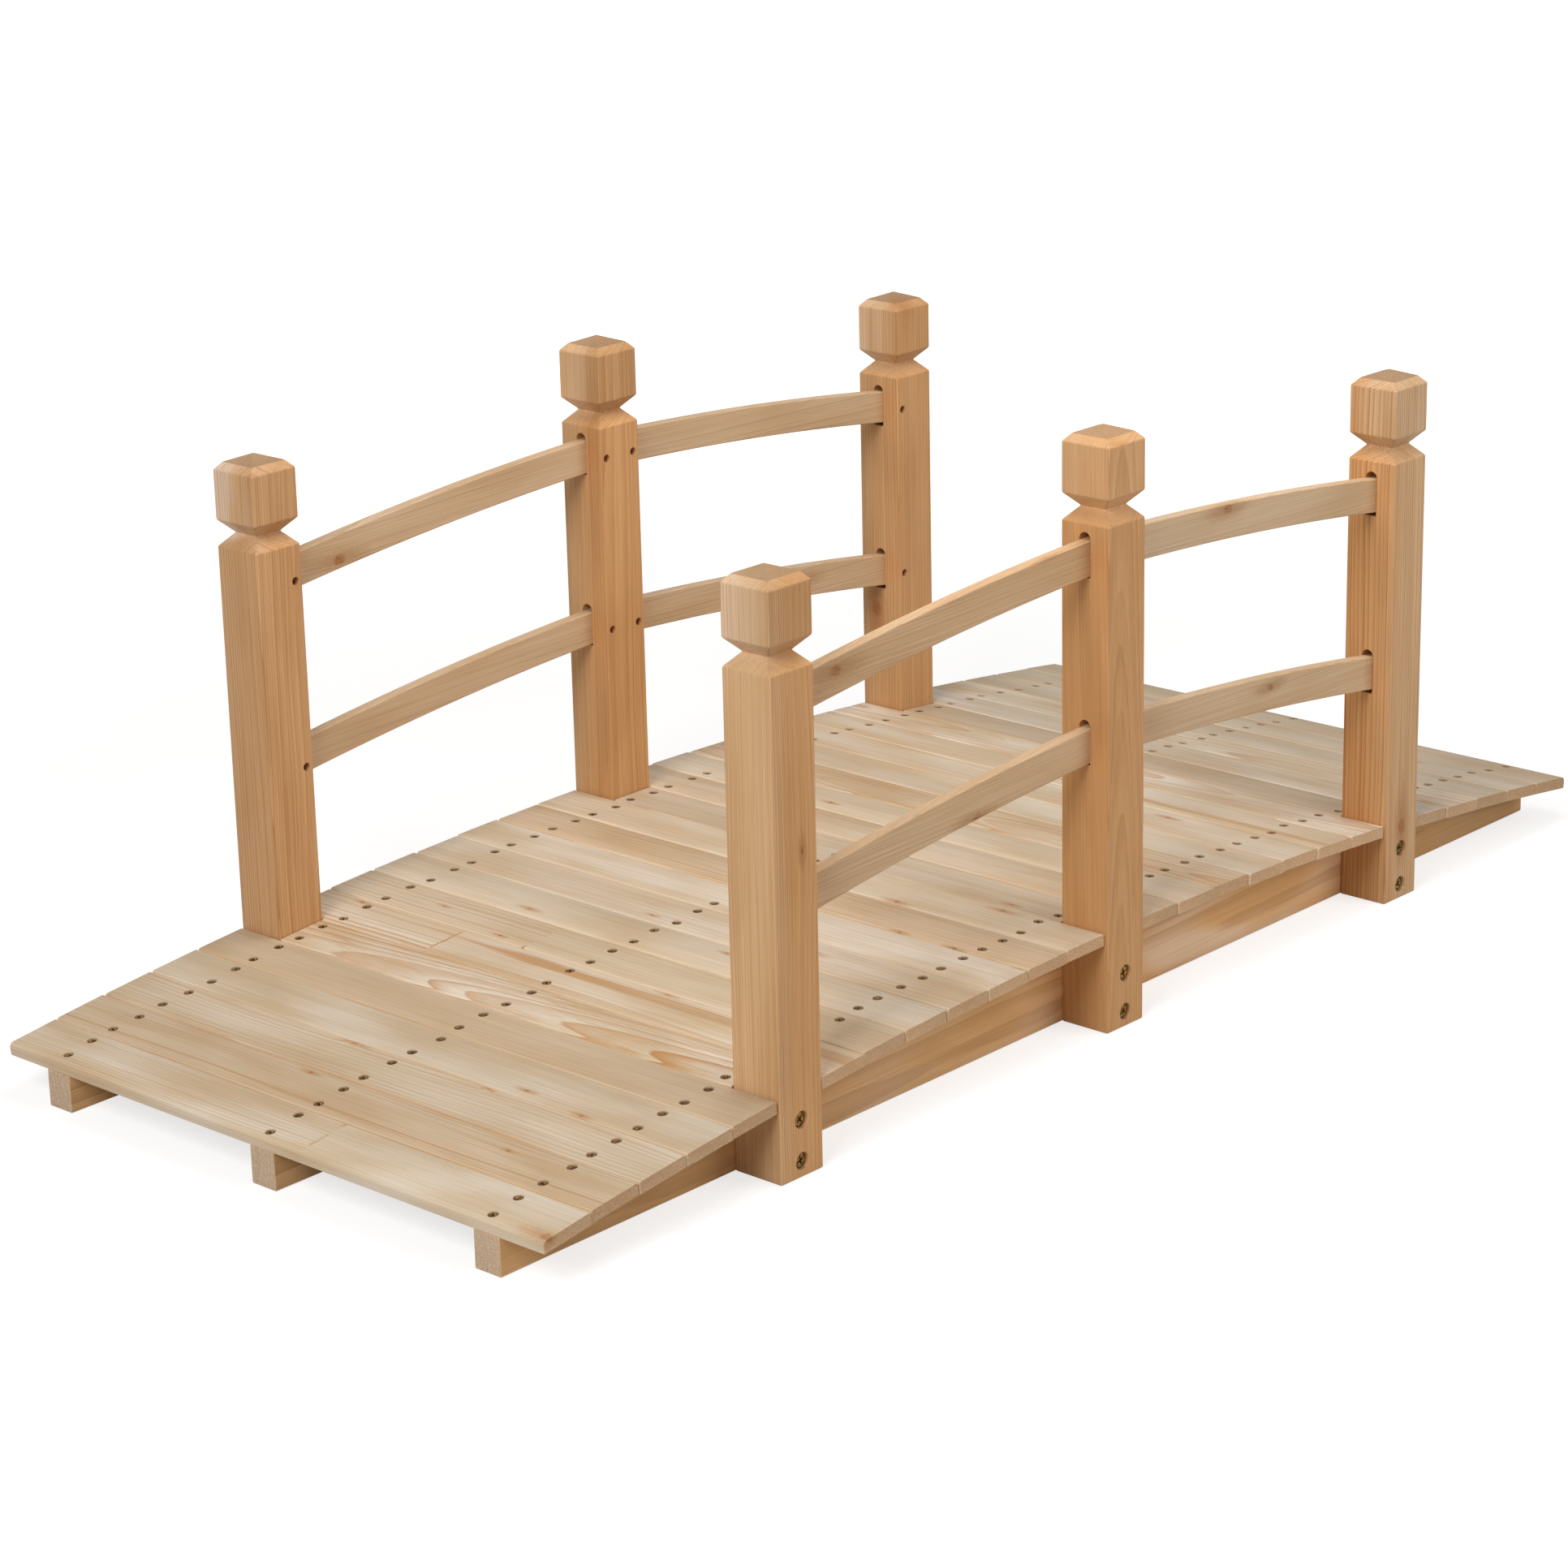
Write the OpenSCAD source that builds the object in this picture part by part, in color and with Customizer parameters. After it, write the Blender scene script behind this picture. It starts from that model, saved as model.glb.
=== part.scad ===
// Low-arch wooden garden footbridge. Three flat-bottomed stringers with arched
// tops carry a deck of cross planks. Six capped posts stand against the outer
// stringers, and two curved rails are mortised into the posts of every bay.
// X runs along the bridge, Y across it and Z up. The origin is on the ground,
// under the middle of the deck. All sizes are in millimetres.

/* [Stringers] */
// Thickness of a stringer, across the bridge
stringer_t = 30; // [20:1:45]
// Height of a stringer in the middle of the bridge
stringer_mid_h = 85; // [75:1:140]
// Radius of the arched top edge that the deck lies on
arch_radius = 5600; // [4800:10:9000]

/* [Deck] */
// Width of a plank, along the bridge
plank_w = 55; // [45:0.5:60]
// Thickness of a plank
plank_t = 12; // [9:0.5:25]
// Open joint between two planks
plank_gap = 0.8; // [0.4:0.2:4]
// Distance of the plank ends inside the outer faces of the posts
plank_inset = 1; // [0:0.5:20]
// Radius of the eased top edges
plank_edge_r = 2; // [1:0.25:4]
// Radius of the nosing at each end of the deck
nosing_r = 4.5; // [2:0.25:7]
// Clearance between a flat plank and the arched top edge
plank_seat_gap = 0.1; // [0.05:0.05:0.3]
// Whole planks between the middle posts and the end posts
bay_planks = 7; // [5:1:8]
// Whole planks beyond the end posts
end_planks = 5; // [3:1:6]

/* [Posts] */
// Width of the bridge over the outer faces of the posts
bridge_w = 678; // [560:1:900]
// Side of the square post
post_w = 53; // [48:0.5:70]
// Clearance between a post and the planks around it
post_gap = 0.8; // [0.4:0.1:3]
// Height of the shoulder under the groove on an end post
end_shoulder_h = 446; // [400:1:600]
// Height of the shoulder under the groove on a middle post
mid_shoulder_h = 477; // [420:1:640]
// Height of the V groove around the post
groove_h = 25; // [10:0.5:40]
// Depth of the V groove
groove_depth = 12; // [4:0.5:16]
// Height of the straight head block above the groove
head_h = 46.5; // [30:0.5:80]
// Width of the bevel around the top of the head
bevel_in = 6.5; // [3:0.5:12]
// Height of the bevel
bevel_h = 7; // [3:0.5:14]
// Height of the shallow pyramid on top
cap_rise = 7; // [2:0.5:20]

/* [Rails] */
// Height of a rail
rail_h = 33; // [25:1:60]
// Thickness of a rail, across the bridge
rail_t = 12; // [9:0.5:20]
// Radius of the curved top edge of a rail
rail_radius = 4300; // [2500:50:9000]
// Distance of an upper rail below the shoulder, at the face of a middle post
upper_rail_mid_drop = 14.5; // [12:0.5:40]
// Distance of an upper rail below the shoulder, at the face of an end post
upper_rail_end_drop = 16.5; // [12:0.5:40]
// Distance of a lower rail below the shoulder, at the face of a middle post
lower_rail_mid_drop = 188.5; // [120:0.5:240]
// Distance of a lower rail below the shoulder, at the face of an end post
lower_rail_end_drop = 194.5; // [120:0.5:240]
// Depth of a mortise
mortise_depth = 20; // [12:0.5:22]
// Open height that a mortise leaves under the rail
mortise_slack = 1; // [0.5:0.5:4]
// Clearance around a rail in its mortise
rail_gap = 0.25; // [0.1:0.05:0.6]
// Clearance between the end of a rail and the bottom of its mortise
rail_end_gap = 0.5; // [0.3:0.1:2]
// Diameter of the recess for the screw that pins a rail
pin_d = 8; // [4:0.5:10]
// Depth of the recess
pin_depth = 14; // [8:0.5:18]
// Distance of the recess from the face that the rail enters
pin_edge = 8; // [6:0.5:14]

/* [Hidden] */
deck_colour = [0.87, 0.78, 0.64];
post_colour = [0.80, 0.63, 0.44];
rail_colour = [0.75, 0.62, 0.48];
stringer_colour = [0.75, 0.59, 0.42];

// Segments of a long arc, and of an eased edge and a drilled recess
arc_fn = 7200;
edge_steps = 5;
hole_fn = 48;
// How far a cut runs past the face that it starts from
overcut = 1;

// Across the bridge
post_y = (bridge_w - post_w) / 2;
post_inner_y = bridge_w / 2 - post_w;
stringer_y = post_inner_y - stringer_t / 2;
whole_plank_l = bridge_w - 2 * plank_inset;
short_plank_l = 2 * (post_inner_y - post_gap);

// Along the bridge, as angles about the centre of the arch: each post takes the
// place of a whole plank, and a short plank fills the deck between the two posts
function arc_angle(length) = length / arch_radius * 180 / PI;
function arc_length(angle) = angle * PI / 180 * arch_radius;
pitch_a = arc_angle(plank_w + plank_gap);
plank_a = arc_angle(plank_w);
gap_a = arc_angle(plank_gap);
arch_z = stringer_mid_h - arch_radius;
deck_bottom_r = arch_radius + plank_seat_gap;
deck_top_r = deck_bottom_r + plank_t;
mid_a = asin((post_w / 2 + post_gap) / arch_radius);
bay_end_a = mid_a + bay_planks * pitch_a - gap_a;
post_x = deck_top_r * sin(bay_end_a) + post_gap + post_w / 2;
tail_a = asin((post_x + post_w / 2 + post_gap) / arch_radius);
deck_end_a = tail_a + end_planks * pitch_a - gap_a;
stringer_half_l = arch_radius * sin(deck_end_a);

// Planks of one half of the deck, each as [start angle, end angle, whole]
half_deck = concat(
    [for (k = [0:bay_planks - 1]) [mid_a + k * pitch_a, mid_a + k * pitch_a + plank_a, true]],
    [[bay_end_a + gap_a, tail_a - gap_a, false]],
    [for (k = [0:end_planks - 1]) [tail_a + k * pitch_a, tail_a + k * pitch_a + plank_a, true]]);
half_count = len(half_deck);
deck = concat(
    [for (k = [1:half_count]) let (p = half_deck[half_count - k]) [-p[1], -p[0], p[2]]],
    [[gap_a - mid_a, mid_a - gap_a, false]],
    half_deck);
plank_count = len(deck);

// Curved top edge of a rail in the bay on the +X side: an arc through the rail's
// height at the face of the middle post and of the end post. Level 0 is the lower
// rail and level 1 the upper one
mid_drop = [lower_rail_mid_drop, upper_rail_mid_drop];
end_drop = [lower_rail_end_drop, upper_rail_end_drop];
rail_from_x = post_w / 2;
rail_to_x = post_x - post_w / 2;
function rail_from(level) = [rail_from_x, mid_shoulder_h - mid_drop[level]];
function rail_to(level) = [rail_to_x, end_shoulder_h - end_drop[level]];
function rail_centre(level) =
    let (chord = rail_to(level) - rail_from(level), span = norm(chord))
    (rail_from(level) + rail_to(level)) / 2
    - sqrt(pow(rail_radius, 2) - pow(span / 2, 2)) * [-chord[1], chord[0]] / span;
function rail_z(level, x, radius) =
    let (centre = rail_centre(level)) centre[1] + sqrt(pow(radius, 2) - pow(x - centre[0], 2));
function rail_top(level, x) = rail_z(level, x, rail_radius);
function rail_bottom(level, x) = rail_z(level, x, rail_radius - rail_h);
tenon_l = mortise_depth - rail_end_gap;
mortise_r = rail_t / 2 + rail_gap;

// Names of the pieces
SIDES = [-1, 1];
ROWS = [-1, 0, 1];
BAYS = [-1, 1];
LEVELS = [0, 1];
function side_word(side) = side < 0 ? "right" : "left";
function row_word(row) = ["front", "middle", "back"][row + 1];
function level_word(level) = level == 0 ? "lower" : "upper";
function stringer_name(row) = str(["right", "middle", "left"][row + 1], "_stringer");
function plank_name(i) = str("plank_", i < 9 ? "0" : "", i + 1);
function post_name(side, row) = str(side_word(side), "_", row_word(row), "_post");
function rail_name(side, bay, level) =
    str(side_word(side), "_", row_word(bay), "_", level_word(level), "_rail");

// A flat outline in X and Z, made solid along Y
module across(length) {
    rotate([90, 0, 0]) linear_extrude(height = length, center = true) children();
}

// Turns a piece made for the +X bay round for the other bay
module in_bay(bay) {
    if (bay < 0) mirror([1, 0, 0]) children();
    else children();
}

// Flat underside, arched top edge and upright ends
module stringer(row) {
    color(stringer_colour) translate([0, row * stringer_y, 0]) across(stringer_t) intersection() {
        translate([0, arch_z]) circle(r = arch_radius, $fn = arc_fn);
        translate([-stringer_half_l, 0]) square([2 * stringer_half_l, stringer_mid_h + overcut]);
    }
}

// Points of a rounded corner about its centre
function corner(x, z, r, from) =
    [for (k = [0:edge_steps]) let (a = from + 90 * k / edge_steps) [x + r * cos(a), z + r * sin(a)]];

// A plank lies flat on the arch, with its two top edges eased or made a nosing
module plank(i) {
    place = deck[i];
    w = arc_length(place[1] - place[0]);
    front_r = i == 0 ? nosing_r : plank_edge_r;
    back_r = i == plank_count - 1 ? nosing_r : plank_edge_r;
    color(deck_colour) translate([0, 0, arch_z]) rotate([0, (place[0] + place[1]) / 2, 0])
        translate([0, 0, deck_bottom_r]) across(place[2] ? whole_plank_l : short_plank_l)
            polygon(concat(
                [[-w / 2, 0], [w / 2, 0]],
                corner(w / 2 - back_r, plank_t - back_r, back_r, 0),
                corner(front_r - w / 2, plank_t - front_r, front_r, 90)));
}

// Outline of a post seen from any side: shaft, V groove, head block, bevel and cap
module post_outline(shoulder_h) {
    half = post_w / 2;
    head_z = shoulder_h + groove_h;
    bevel_z = head_z + head_h;
    edge = [[half, 0], [half, shoulder_h], [half - groove_depth, shoulder_h + groove_h / 2],
        [half, head_z], [half, bevel_z], [half - bevel_in, bevel_z + bevel_h]];
    last = len(edge) - 1;
    polygon(concat(
        edge,
        [[0, bevel_z + bevel_h + cap_rise]],
        [for (k = [0:last]) [-edge[last - k][0], edge[last - k][1]]]));
}

// The outline holds on all four sides, so the post is what two crossed prisms share
module post_blank(shoulder_h) {
    intersection() {
        across(post_w + overcut) post_outline(shoulder_h);
        rotate([0, 0, 90]) across(post_w + overcut) post_outline(shoulder_h);
    }
}

// Routed slot with a round top and a square foot, from the face of a post at mouth
// to its bottom at foot, clear of the rail all the way in
module mortise(level, mouth, foot) {
    top = max(rail_top(level, mouth), rail_top(level, foot)) + rail_gap;
    bottom = min(rail_bottom(level, mouth), rail_bottom(level, foot)) - rail_gap - mortise_slack;
    start = mouth < foot ? mouth - overcut : foot;
    translate([start, 0, bottom]) rotate([90, 0, 90]) linear_extrude(height = mortise_depth + overcut) {
        translate([-mortise_r, 0]) square([2 * mortise_r, top - bottom]);
        translate([0, top - bottom]) circle(r = mortise_r, $fn = hole_fn);
    }
}

// Recess for the screw that pins a rail, drilled from the face over the deck
module pin_recess(level, x, side) {
    z = (rail_top(level, x) + rail_bottom(level, x)) / 2;
    translate([x, side * (post_inner_y - post_y), z]) rotate([side * 90, 0, 0])
        translate([0, 0, -pin_depth]) cylinder(d = pin_d, h = pin_depth + overcut, $fn = hole_fn);
}

module post(side, row) {
    color(post_colour) translate([0, side * post_y, 0]) difference() {
        translate([row * post_x, 0, 0]) post_blank(row == 0 ? mid_shoulder_h : end_shoulder_h);
        for (bay = row == 0 ? BAYS : [row], level = LEVELS) in_bay(bay) {
            mouth = row == 0 ? rail_from_x : rail_to_x;
            inward = row == 0 ? -1 : 1;
            mortise(level, mouth, mouth + inward * mortise_depth);
            pin_recess(level, mouth + inward * pin_edge, side);
        }
    }
}

// Two arcs about one centre, cut upright at both ends, reach into the mortises
module rail(side, bay, level) {
    low = min(rail_from(level)[1], rail_to(level)[1]) - 2 * rail_h;
    high = max(rail_from(level)[1], rail_to(level)[1]) + rail_h;
    color(rail_colour) translate([0, side * post_y, 0]) in_bay(bay)
        across(rail_t) intersection() {
            translate(rail_centre(level)) difference() {
                circle(r = rail_radius, $fn = arc_fn);
                circle(r = rail_radius - rail_h, $fn = arc_fn);
            }
            translate([rail_from_x - tenon_l, low])
                square([rail_to_x - rail_from_x + 2 * tenon_l, high - low]);
        }
}

for (row = ROWS)
    stringer(row);
for (i = [0:plank_count - 1])
    plank(i);
for (side = SIDES, row = ROWS)
    post(side, row);
for (side = SIDES, bay = BAYS, level = LEVELS)
    rail(side, bay, level);
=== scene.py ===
"""Dresses a low-arch garden footbridge: eased softwood with grain and knots, screws, and a plain studio."""

import bmesh
import bpy
import numpy as np
from bpy.props import FloatProperty, FloatVectorProperty, PointerProperty
from bpy.types import Operator, Panel, PropertyGroup
from mathutils import Matrix, Vector


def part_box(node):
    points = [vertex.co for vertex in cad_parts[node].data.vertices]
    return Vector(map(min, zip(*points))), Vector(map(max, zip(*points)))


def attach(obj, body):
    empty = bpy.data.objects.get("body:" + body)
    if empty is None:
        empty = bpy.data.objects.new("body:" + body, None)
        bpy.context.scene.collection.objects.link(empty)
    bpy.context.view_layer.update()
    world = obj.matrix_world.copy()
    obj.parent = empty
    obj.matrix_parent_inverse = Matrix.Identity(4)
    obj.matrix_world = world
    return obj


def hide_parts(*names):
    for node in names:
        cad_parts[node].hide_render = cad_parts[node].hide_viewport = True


bl_info = {
    "name": "Garden footbridge",
    "version": (1, 0, 0),
    "blender": (4, 5, 0),
    "location": "3D View > Sidebar > Footbridge",
    "description": "Dressed timber, screws and studio for a low-arch garden footbridge",
    "category": "Object",
}

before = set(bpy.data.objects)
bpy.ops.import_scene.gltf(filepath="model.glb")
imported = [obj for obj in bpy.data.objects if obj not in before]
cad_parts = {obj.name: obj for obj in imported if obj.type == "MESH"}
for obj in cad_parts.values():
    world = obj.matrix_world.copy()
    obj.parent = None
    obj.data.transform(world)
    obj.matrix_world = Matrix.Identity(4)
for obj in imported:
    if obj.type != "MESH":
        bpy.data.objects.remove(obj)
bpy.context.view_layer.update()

X_AXIS = np.array([1.0, 0.0, 0.0])
Y_AXIS = np.array([0.0, 1.0, 0.0])
Z_AXIS = np.array([0.0, 0.0, 1.0])
MILLIMETRES = 1000.0
# Place of a mark that a piece doesn't have
FAR_AWAY = 1.0e4
SIDES = {"right": -1, "left": 1}
ROWS = {"front": -1, "middle": 0, "back": 1}
BAYS = {"front": -1, "back": 1}
LEVELS = ("lower", "upper")
STRINGERS = {"right": -1, "middle": 0, "left": 1}

# Knots on the top of a plank: place across and along it from its middle, and radius, in metres
DECK_KNOTS = {
    "plank_01": [(-0.0200, -0.334, 0.0050)],
    "plank_02": [(0.0100, -0.205, 0.0018), (0.0202, 0.049, 0.0022)],
    "plank_03": [(0.0260, 0.058, 0.0032), (0.0250, -0.110, 0.0016)],
    "plank_04": [(-0.0160, -0.141, 0.0021), (-0.0245, -0.214, 0.0022)],
    "plank_07": [(0.0260, -0.110, 0.0026), (0.0208, 0.284, 0.0022)],
    "plank_08": [(-0.0193, 0.114, 0.0018), (0.0016, 0.210, 0.0016)],
    "plank_09": [(-0.0136, 0.137, 0.0026), (0.0120, -0.090, 0.0018)],
    "plank_10": [(0.0020, -0.150, 0.0034), (-0.0150, 0.030, 0.0016)],
    "plank_11": [(0.0255, -0.330, 0.0018)],
    "plank_12": [(-0.0253, -0.185, 0.0020), (-0.0270, -0.250, 0.0022)],
    "plank_13": [(-0.0232, -0.132, 0.0030), (0.0180, -0.225, 0.0030)],
    "plank_14": [(-0.0196, -0.221, 0.0022)],
    "plank_16": [(-0.0080, 0.110, 0.0025)],
    "plank_19": [(0.0100, -0.170, 0.0028)],
    "plank_23": [(-0.0120, 0.060, 0.0032)],
    "plank_26": [(0.0060, -0.200, 0.0026)],
}
# Knots in a post: place across, in depth and up from the middle of its foot, and radius, in metres
POST_KNOTS = {
    "right_front_post": [(0.008, -0.0265, 0.289, 0.0027)],
    "right_middle_post": [(0.0265, 0.0100, 0.190, 0.0050)],
    "right_back_post": [(0.0000, -0.0265, 0.075, 0.0070)],
    "left_back_post": [(-0.0265, 0.007, 0.190, 0.0075), (-0.0100, -0.0200, 0.550, 0.0085)],
    "left_front_post": [(0.0120, 0.0265, 0.320, 0.0050)],
    "left_middle_post": [(-0.0040, 0.0265, 0.140, 0.0060)],
}
# Knots on the right face of a rail: height, place from the middle of the bridge, and radius, in metres
RAIL_KNOTS = {
    "left_front_upper_rail": [(0.413, -0.354, 0.0060)],
    "right_front_upper_rail": [(0.462, -0.088, 0.0030), (0.424, -0.368, 0.0060)],
    "right_front_lower_rail": [(0.246, -0.185, 0.0055)],
    "right_back_upper_rail": [(0.449, 0.178, 0.0050)],
    "right_back_lower_rail": [(0.262, 0.249, 0.0040)],
    "left_back_lower_rail": [(0.252, 0.281, 0.0060)],
}
# Tone and ruddiness of each rail
RAIL_TINTS = {
    "right_front_upper_rail": (1.0, 0.55),
    "right_front_lower_rail": (1.2, 0.30),
    "right_back_upper_rail": (1.0, 0.10),
    "right_back_lower_rail": (1.0, 0.15),
    "left_front_upper_rail": (-0.6, 0.15),
    "left_front_lower_rail": (-0.5, 0.15),
    "left_back_upper_rail": (-0.6, 0.15),
    "left_back_lower_rail": (-0.5, 0.15),
}
# How each post lies in its log: pith across and in depth, lean, ring width, contrast, tone, ruddiness, and
# how much ruddier and darker it gets per metre across and in depth; this growth is painted shade, which makes
# some faces of a post look more shaded than others
POST_GRAIN = {
    "right_front_post": (0.045, 0.070, 0.004, 1.7, 0.68, 1.6, 0.22, 30.0, -34.0),
    "right_middle_post": (-0.008, 0.030, 0.022, 1.9, 0.46, 0.8, 1.00, 0.0, 0.0),
    "right_back_post": (0.070, 0.050, -0.004, 2.2, 0.90, 1.2, 0.45, -22.0, 20.0),
    "left_front_post": (0.050, 0.080, 0.006, 2.3, 0.88, 0.0, 0.46, 0.0, -6.0),
    "left_middle_post": (-0.030, 0.070, -0.004, 2.4, 0.65, -0.1, 0.85, 0.0, -20.0),
    "left_back_post": (0.060, 0.060, 0.003, 2.0, 0.70, -0.3, 0.65, 0.0, -6.0),
}
# Painted light on the head of each post, lighter or darker than its shaft where the light falls differently:
# change of tone, ruddiness and paleness, and how much each grows per metre in depth
POST_HEAD_PAINTED_LIGHT = {
    "right_front_post": ((-0.9, 0.0, 0.5), (45.0, 0.0, 20.0)),
    "right_middle_post": ((0.8, -0.5, 0.3), (0.0, -15.0, 0.0)),
    "right_back_post": ((-1.0, -0.6, 0.3), (0.0, 0.0, 0.0)),
    "left_front_post": ((0.8, -0.3, 1.5), (60.0, -11.0, 55.0)),
    "left_middle_post": ((0.3, -0.5, 0.3), (100.0, 0.0, 12.0)),
    "left_back_post": ((0.5, -0.4, 0.8), (55.0, -20.0, 30.0)),
}
# Painted light on the right stringer, lighter in the back bay where the deck's overhang shades it: places
# along it, share of the change there, then the change of tone, ruddiness and paleness, and their growth
STRINGER_PAINTED_LIGHT = ((-0.60, 0.20, 0.38, 0.50), (0.0, 1.0, 1.0, 0.0), (2.4, 0.0, 1.4), (0.0, 0.0, 0.0))
NO_CHANGE = ((0.0,), (0.0,), (0.0, 0.0, 0.0), (0.0, 0.0, 0.0))
# Planks glued up from two lengths: place of the glue line along the plank, in metres
GLUE_LINES = {"plank_01": -0.050, "plank_07": 0.150, "plank_08": 0.077}
# Planks with a brown stripe of heartwood: its place across, its slope, half its width and where it starts
STRIPES = {
    "plank_07": (0.0119, 0.0086, 0.0078, 0.200),
    "plank_20": (-0.0120, 0.0050, 0.0048, 0.080),
}
# Planks with a bold arched figure: pith across and below the plank, lean of the pith, ring width
FIGURED = {
    "plank_06": (-0.015, -0.038, -0.036, 3.6),
    "plank_17": (-0.008, -0.028, -0.030, 3.2),
    "plank_21": (0.012, -0.036, 0.028, 3.0),
    "plank_24": (-0.014, -0.044, -0.022, 3.4),
}
# Tone, contrast of the grain, ruddiness and paleness of each plank from the front end. The tones are partly
# the wood's own and partly painted shade: planks near both ends of the deck are darker where the light falls
# off
PLANK_LOOKS = (
    (0.0, 0.35, 0.00, 1.1), (-0.7, 0.70, 0.25, 0.4), (-0.4, 0.55, 0.05, 0.7), (-0.5, 0.40, 0.00, 1.0),
    (-0.9, 0.40, 0.30, 0.3), (0.5, 1.25, 0.00, 1.0), (0.5, 0.55, 0.00, 0.7), (0.0, 0.35, 0.05, 0.4),
    (-0.2, 0.35, 0.00, 0.6), (-0.2, 0.60, 0.05, 1.0), (0.6, 0.50, 0.00, 1.3), (0.0, 0.85, 0.35, 0.5),
    (0.8, 0.45, 0.00, 0.6), (-1.0, 0.70, 0.00, 0.7), (-0.4, 0.35, 0.30, 0.8), (0.1, 0.35, 0.05, 0.5),
    (-0.2, 0.85, 0.45, 0.6), (0.4, 0.40, 0.00, 0.8), (1.0, 0.60, 0.00, 0.9), (1.1, 0.40, 0.00, 0.8),
    (1.3, 0.80, 0.00, 1.3), (-2.2, 0.45, 0.40, 0.6), (-1.2, 0.55, 0.00, 1.2), (-0.3, 0.75, 0.00, 1.2),
    (-1.7, 0.35, 0.10, 0.8), (-1.4, 0.35, 0.15, 0.9), (-1.5, 0.50, 0.15, 0.4),
)

# Painted highlight along the eased edges of a plank, where the rounding catches the light: how much paler
# they are, and their share of the edge's radius
EDGE_HIGHLIGHT_TONE = 1.6
EDGE_HIGHLIGHT_SHARE = 0.8
# Length over which a stripe fades in, in metres
STRIPE_TAPER = 0.160
# Length of a knot along the grain over its width
KNOT_STRETCH = 1.5
# Starts of the random draws
DRAWS = {"deck_screws": 41, "stringers": 7, "planks": 2024, "posts": 12, "rails": 5, "screw_turns": 3}
# Highest place up the trunk that a timber is cut from, in metres, and the range of the seeds
TRUNK_HEIGHT = 8.0
SEEDS = 90.0
# Paleness of the posts, and of the rails and stringers
POST_PALENESS = 0.1
PLAIN_PALENESS = 0.3
# Stringers in their logs: pith beside and above the underside, its step from row to row, and its lean
STRINGER_PITH_BESIDE = 0.055
STRINGER_PITH_HEIGHT = 0.030
STRINGER_PITH_STEP = 0.010
STRINGER_LEAN = 0.010
# Stringers: tone and its spread, contrast of the grain, ring width and most ruddiness
STRINGER_TONE = 0.8
STRINGER_TONE_SPREAD = 0.4
STRINGER_CONTRAST = 0.75
STRINGER_RINGS = 4.6
STRINGER_RUDDINESS = 0.15
# Plain planks in their logs: limits of the pith beside and below, spread of its lean, and limits of the
# ring width
PLANK_PITH_BESIDE = (0.03, 0.09)
PLANK_PITH_BELOW = (0.02, 0.07)
PLANK_LEAN = 0.006
PLANK_RINGS = (1.5, 2.9)
# Painted shade across a plank, one edge lighter and the other darker as on a board that is not quite flat:
# change of its tone from its middle to its edge, mean and spread
PLANK_PAINTED_SHADE = -0.35
PLANK_PAINTED_SHADE_SPREAD = 0.45
# Rails in their logs: limits of the pith beside and below, its lean and the lean's spread, and limits of the
# contrast and of the ring width
RAIL_PITH_BESIDE = (0.02, 0.05)
RAIL_PITH_BELOW = (0.02, 0.05)
RAIL_LEAN = 0.030
RAIL_LEAN_SPREAD = 0.008
RAIL_CONTRAST = (0.35, 0.65)
RAIL_RINGS = (1.8, 3.0)

# Patterns in the wood: stretch per millimetre across, in depth and along the grain, and detail
PATTERNS = {
    "ripple": ((0.11, 0.11, 0.010), 2.0),
    "ragged": ((0.55, 0.55, 0.30), 2.0),
    "fibre": ((0.95, 0.95, 0.0075), 3.0),
    "thread": ((2.2, 2.2, 0.020), 2.0),
    "cloud": ((0.026, 0.026, 0.0065), 1.5),
    "streak": ((0.40, 0.40, 0.0045), 2.0),
    "pores": ((0.55, 0.55, 0.10), 4.0),
}
# Value at which each mark starts and value at which it is full
MARK_STEPS = {
    "pale_patch": (-0.18, 0.30),
    "dark_patch": (0.02, -0.24),
    "stripe": (1.3, 0.5),
    "streak": (0.04, 0.22),
    "end": (0.72, 0.92),
    "pores": (-0.12, 0.16),
    "flame": (1.0, 0.2),
    "knot": (1.1, 0.45),
    "seam": (2.6, 0.4),
    "seam_gaps": (-0.06, 0.06),
}
# How much each mark covers the wood under it
MARK_COVER = {
    "dark_patch": 0.16,
    "stripe": 0.72,
    "streak": 0.34,
    "end": 0.9,
    "pores": 0.38,
    "flame": 0.6,
    "knot": 0.4,
    "knot_pores": 0.5,
    "seam": 0.8,
}
# Slow bend of the rings: its stretch, and how far it and the ripple move them, in millimetres
BEND = (0.011, 0.011, 0.0032)
BEND_REACH = 7.0
RIPPLE_REACH = 0.6
# A knot's reach in its radii, its ragged edge, and how many rings it pushes aside
KNOT_REACH = 1.6
KNOT_RAGGED = 0.7
KNOT_PUSH = 1.2
# Flame round a knot: its stretch, and its ragged and streaky edge
FLAME = (0.42, 0.42, 0.16)
FLAME_RAGGED = 0.5
FLAME_STREAK = 0.2
# Past a glue line: shift of the rings in millimetres and how much bolder they are, and the line's ragged edge
GLUE_SHIFT = 11.3
GLUE_CONTRAST = 0.8
GLUE_RAGGED = 7.0
# Uneven years and bands of years: changes per millimetre, reach in millimetres, and share in the patches
YEARS_STRETCH = 0.13
YEARS_REACH = 5.5
BANDS_STRETCH = 0.055
BANDS_SHARE = 0.4
# A year's line: the power by which it darkens, where in its ring it ends, and strength of the palest year
LINE_POWER = 1.7
LINE_END = 0.92
PALEST_YEAR = 0.40
# Ragged and fibrous edge of a stripe, and early wood in its colour
STRIPE_RAGGED = 1.3
STRIPE_FIBRE = 0.9
STRIPE_EARLY = 0.15
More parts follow.
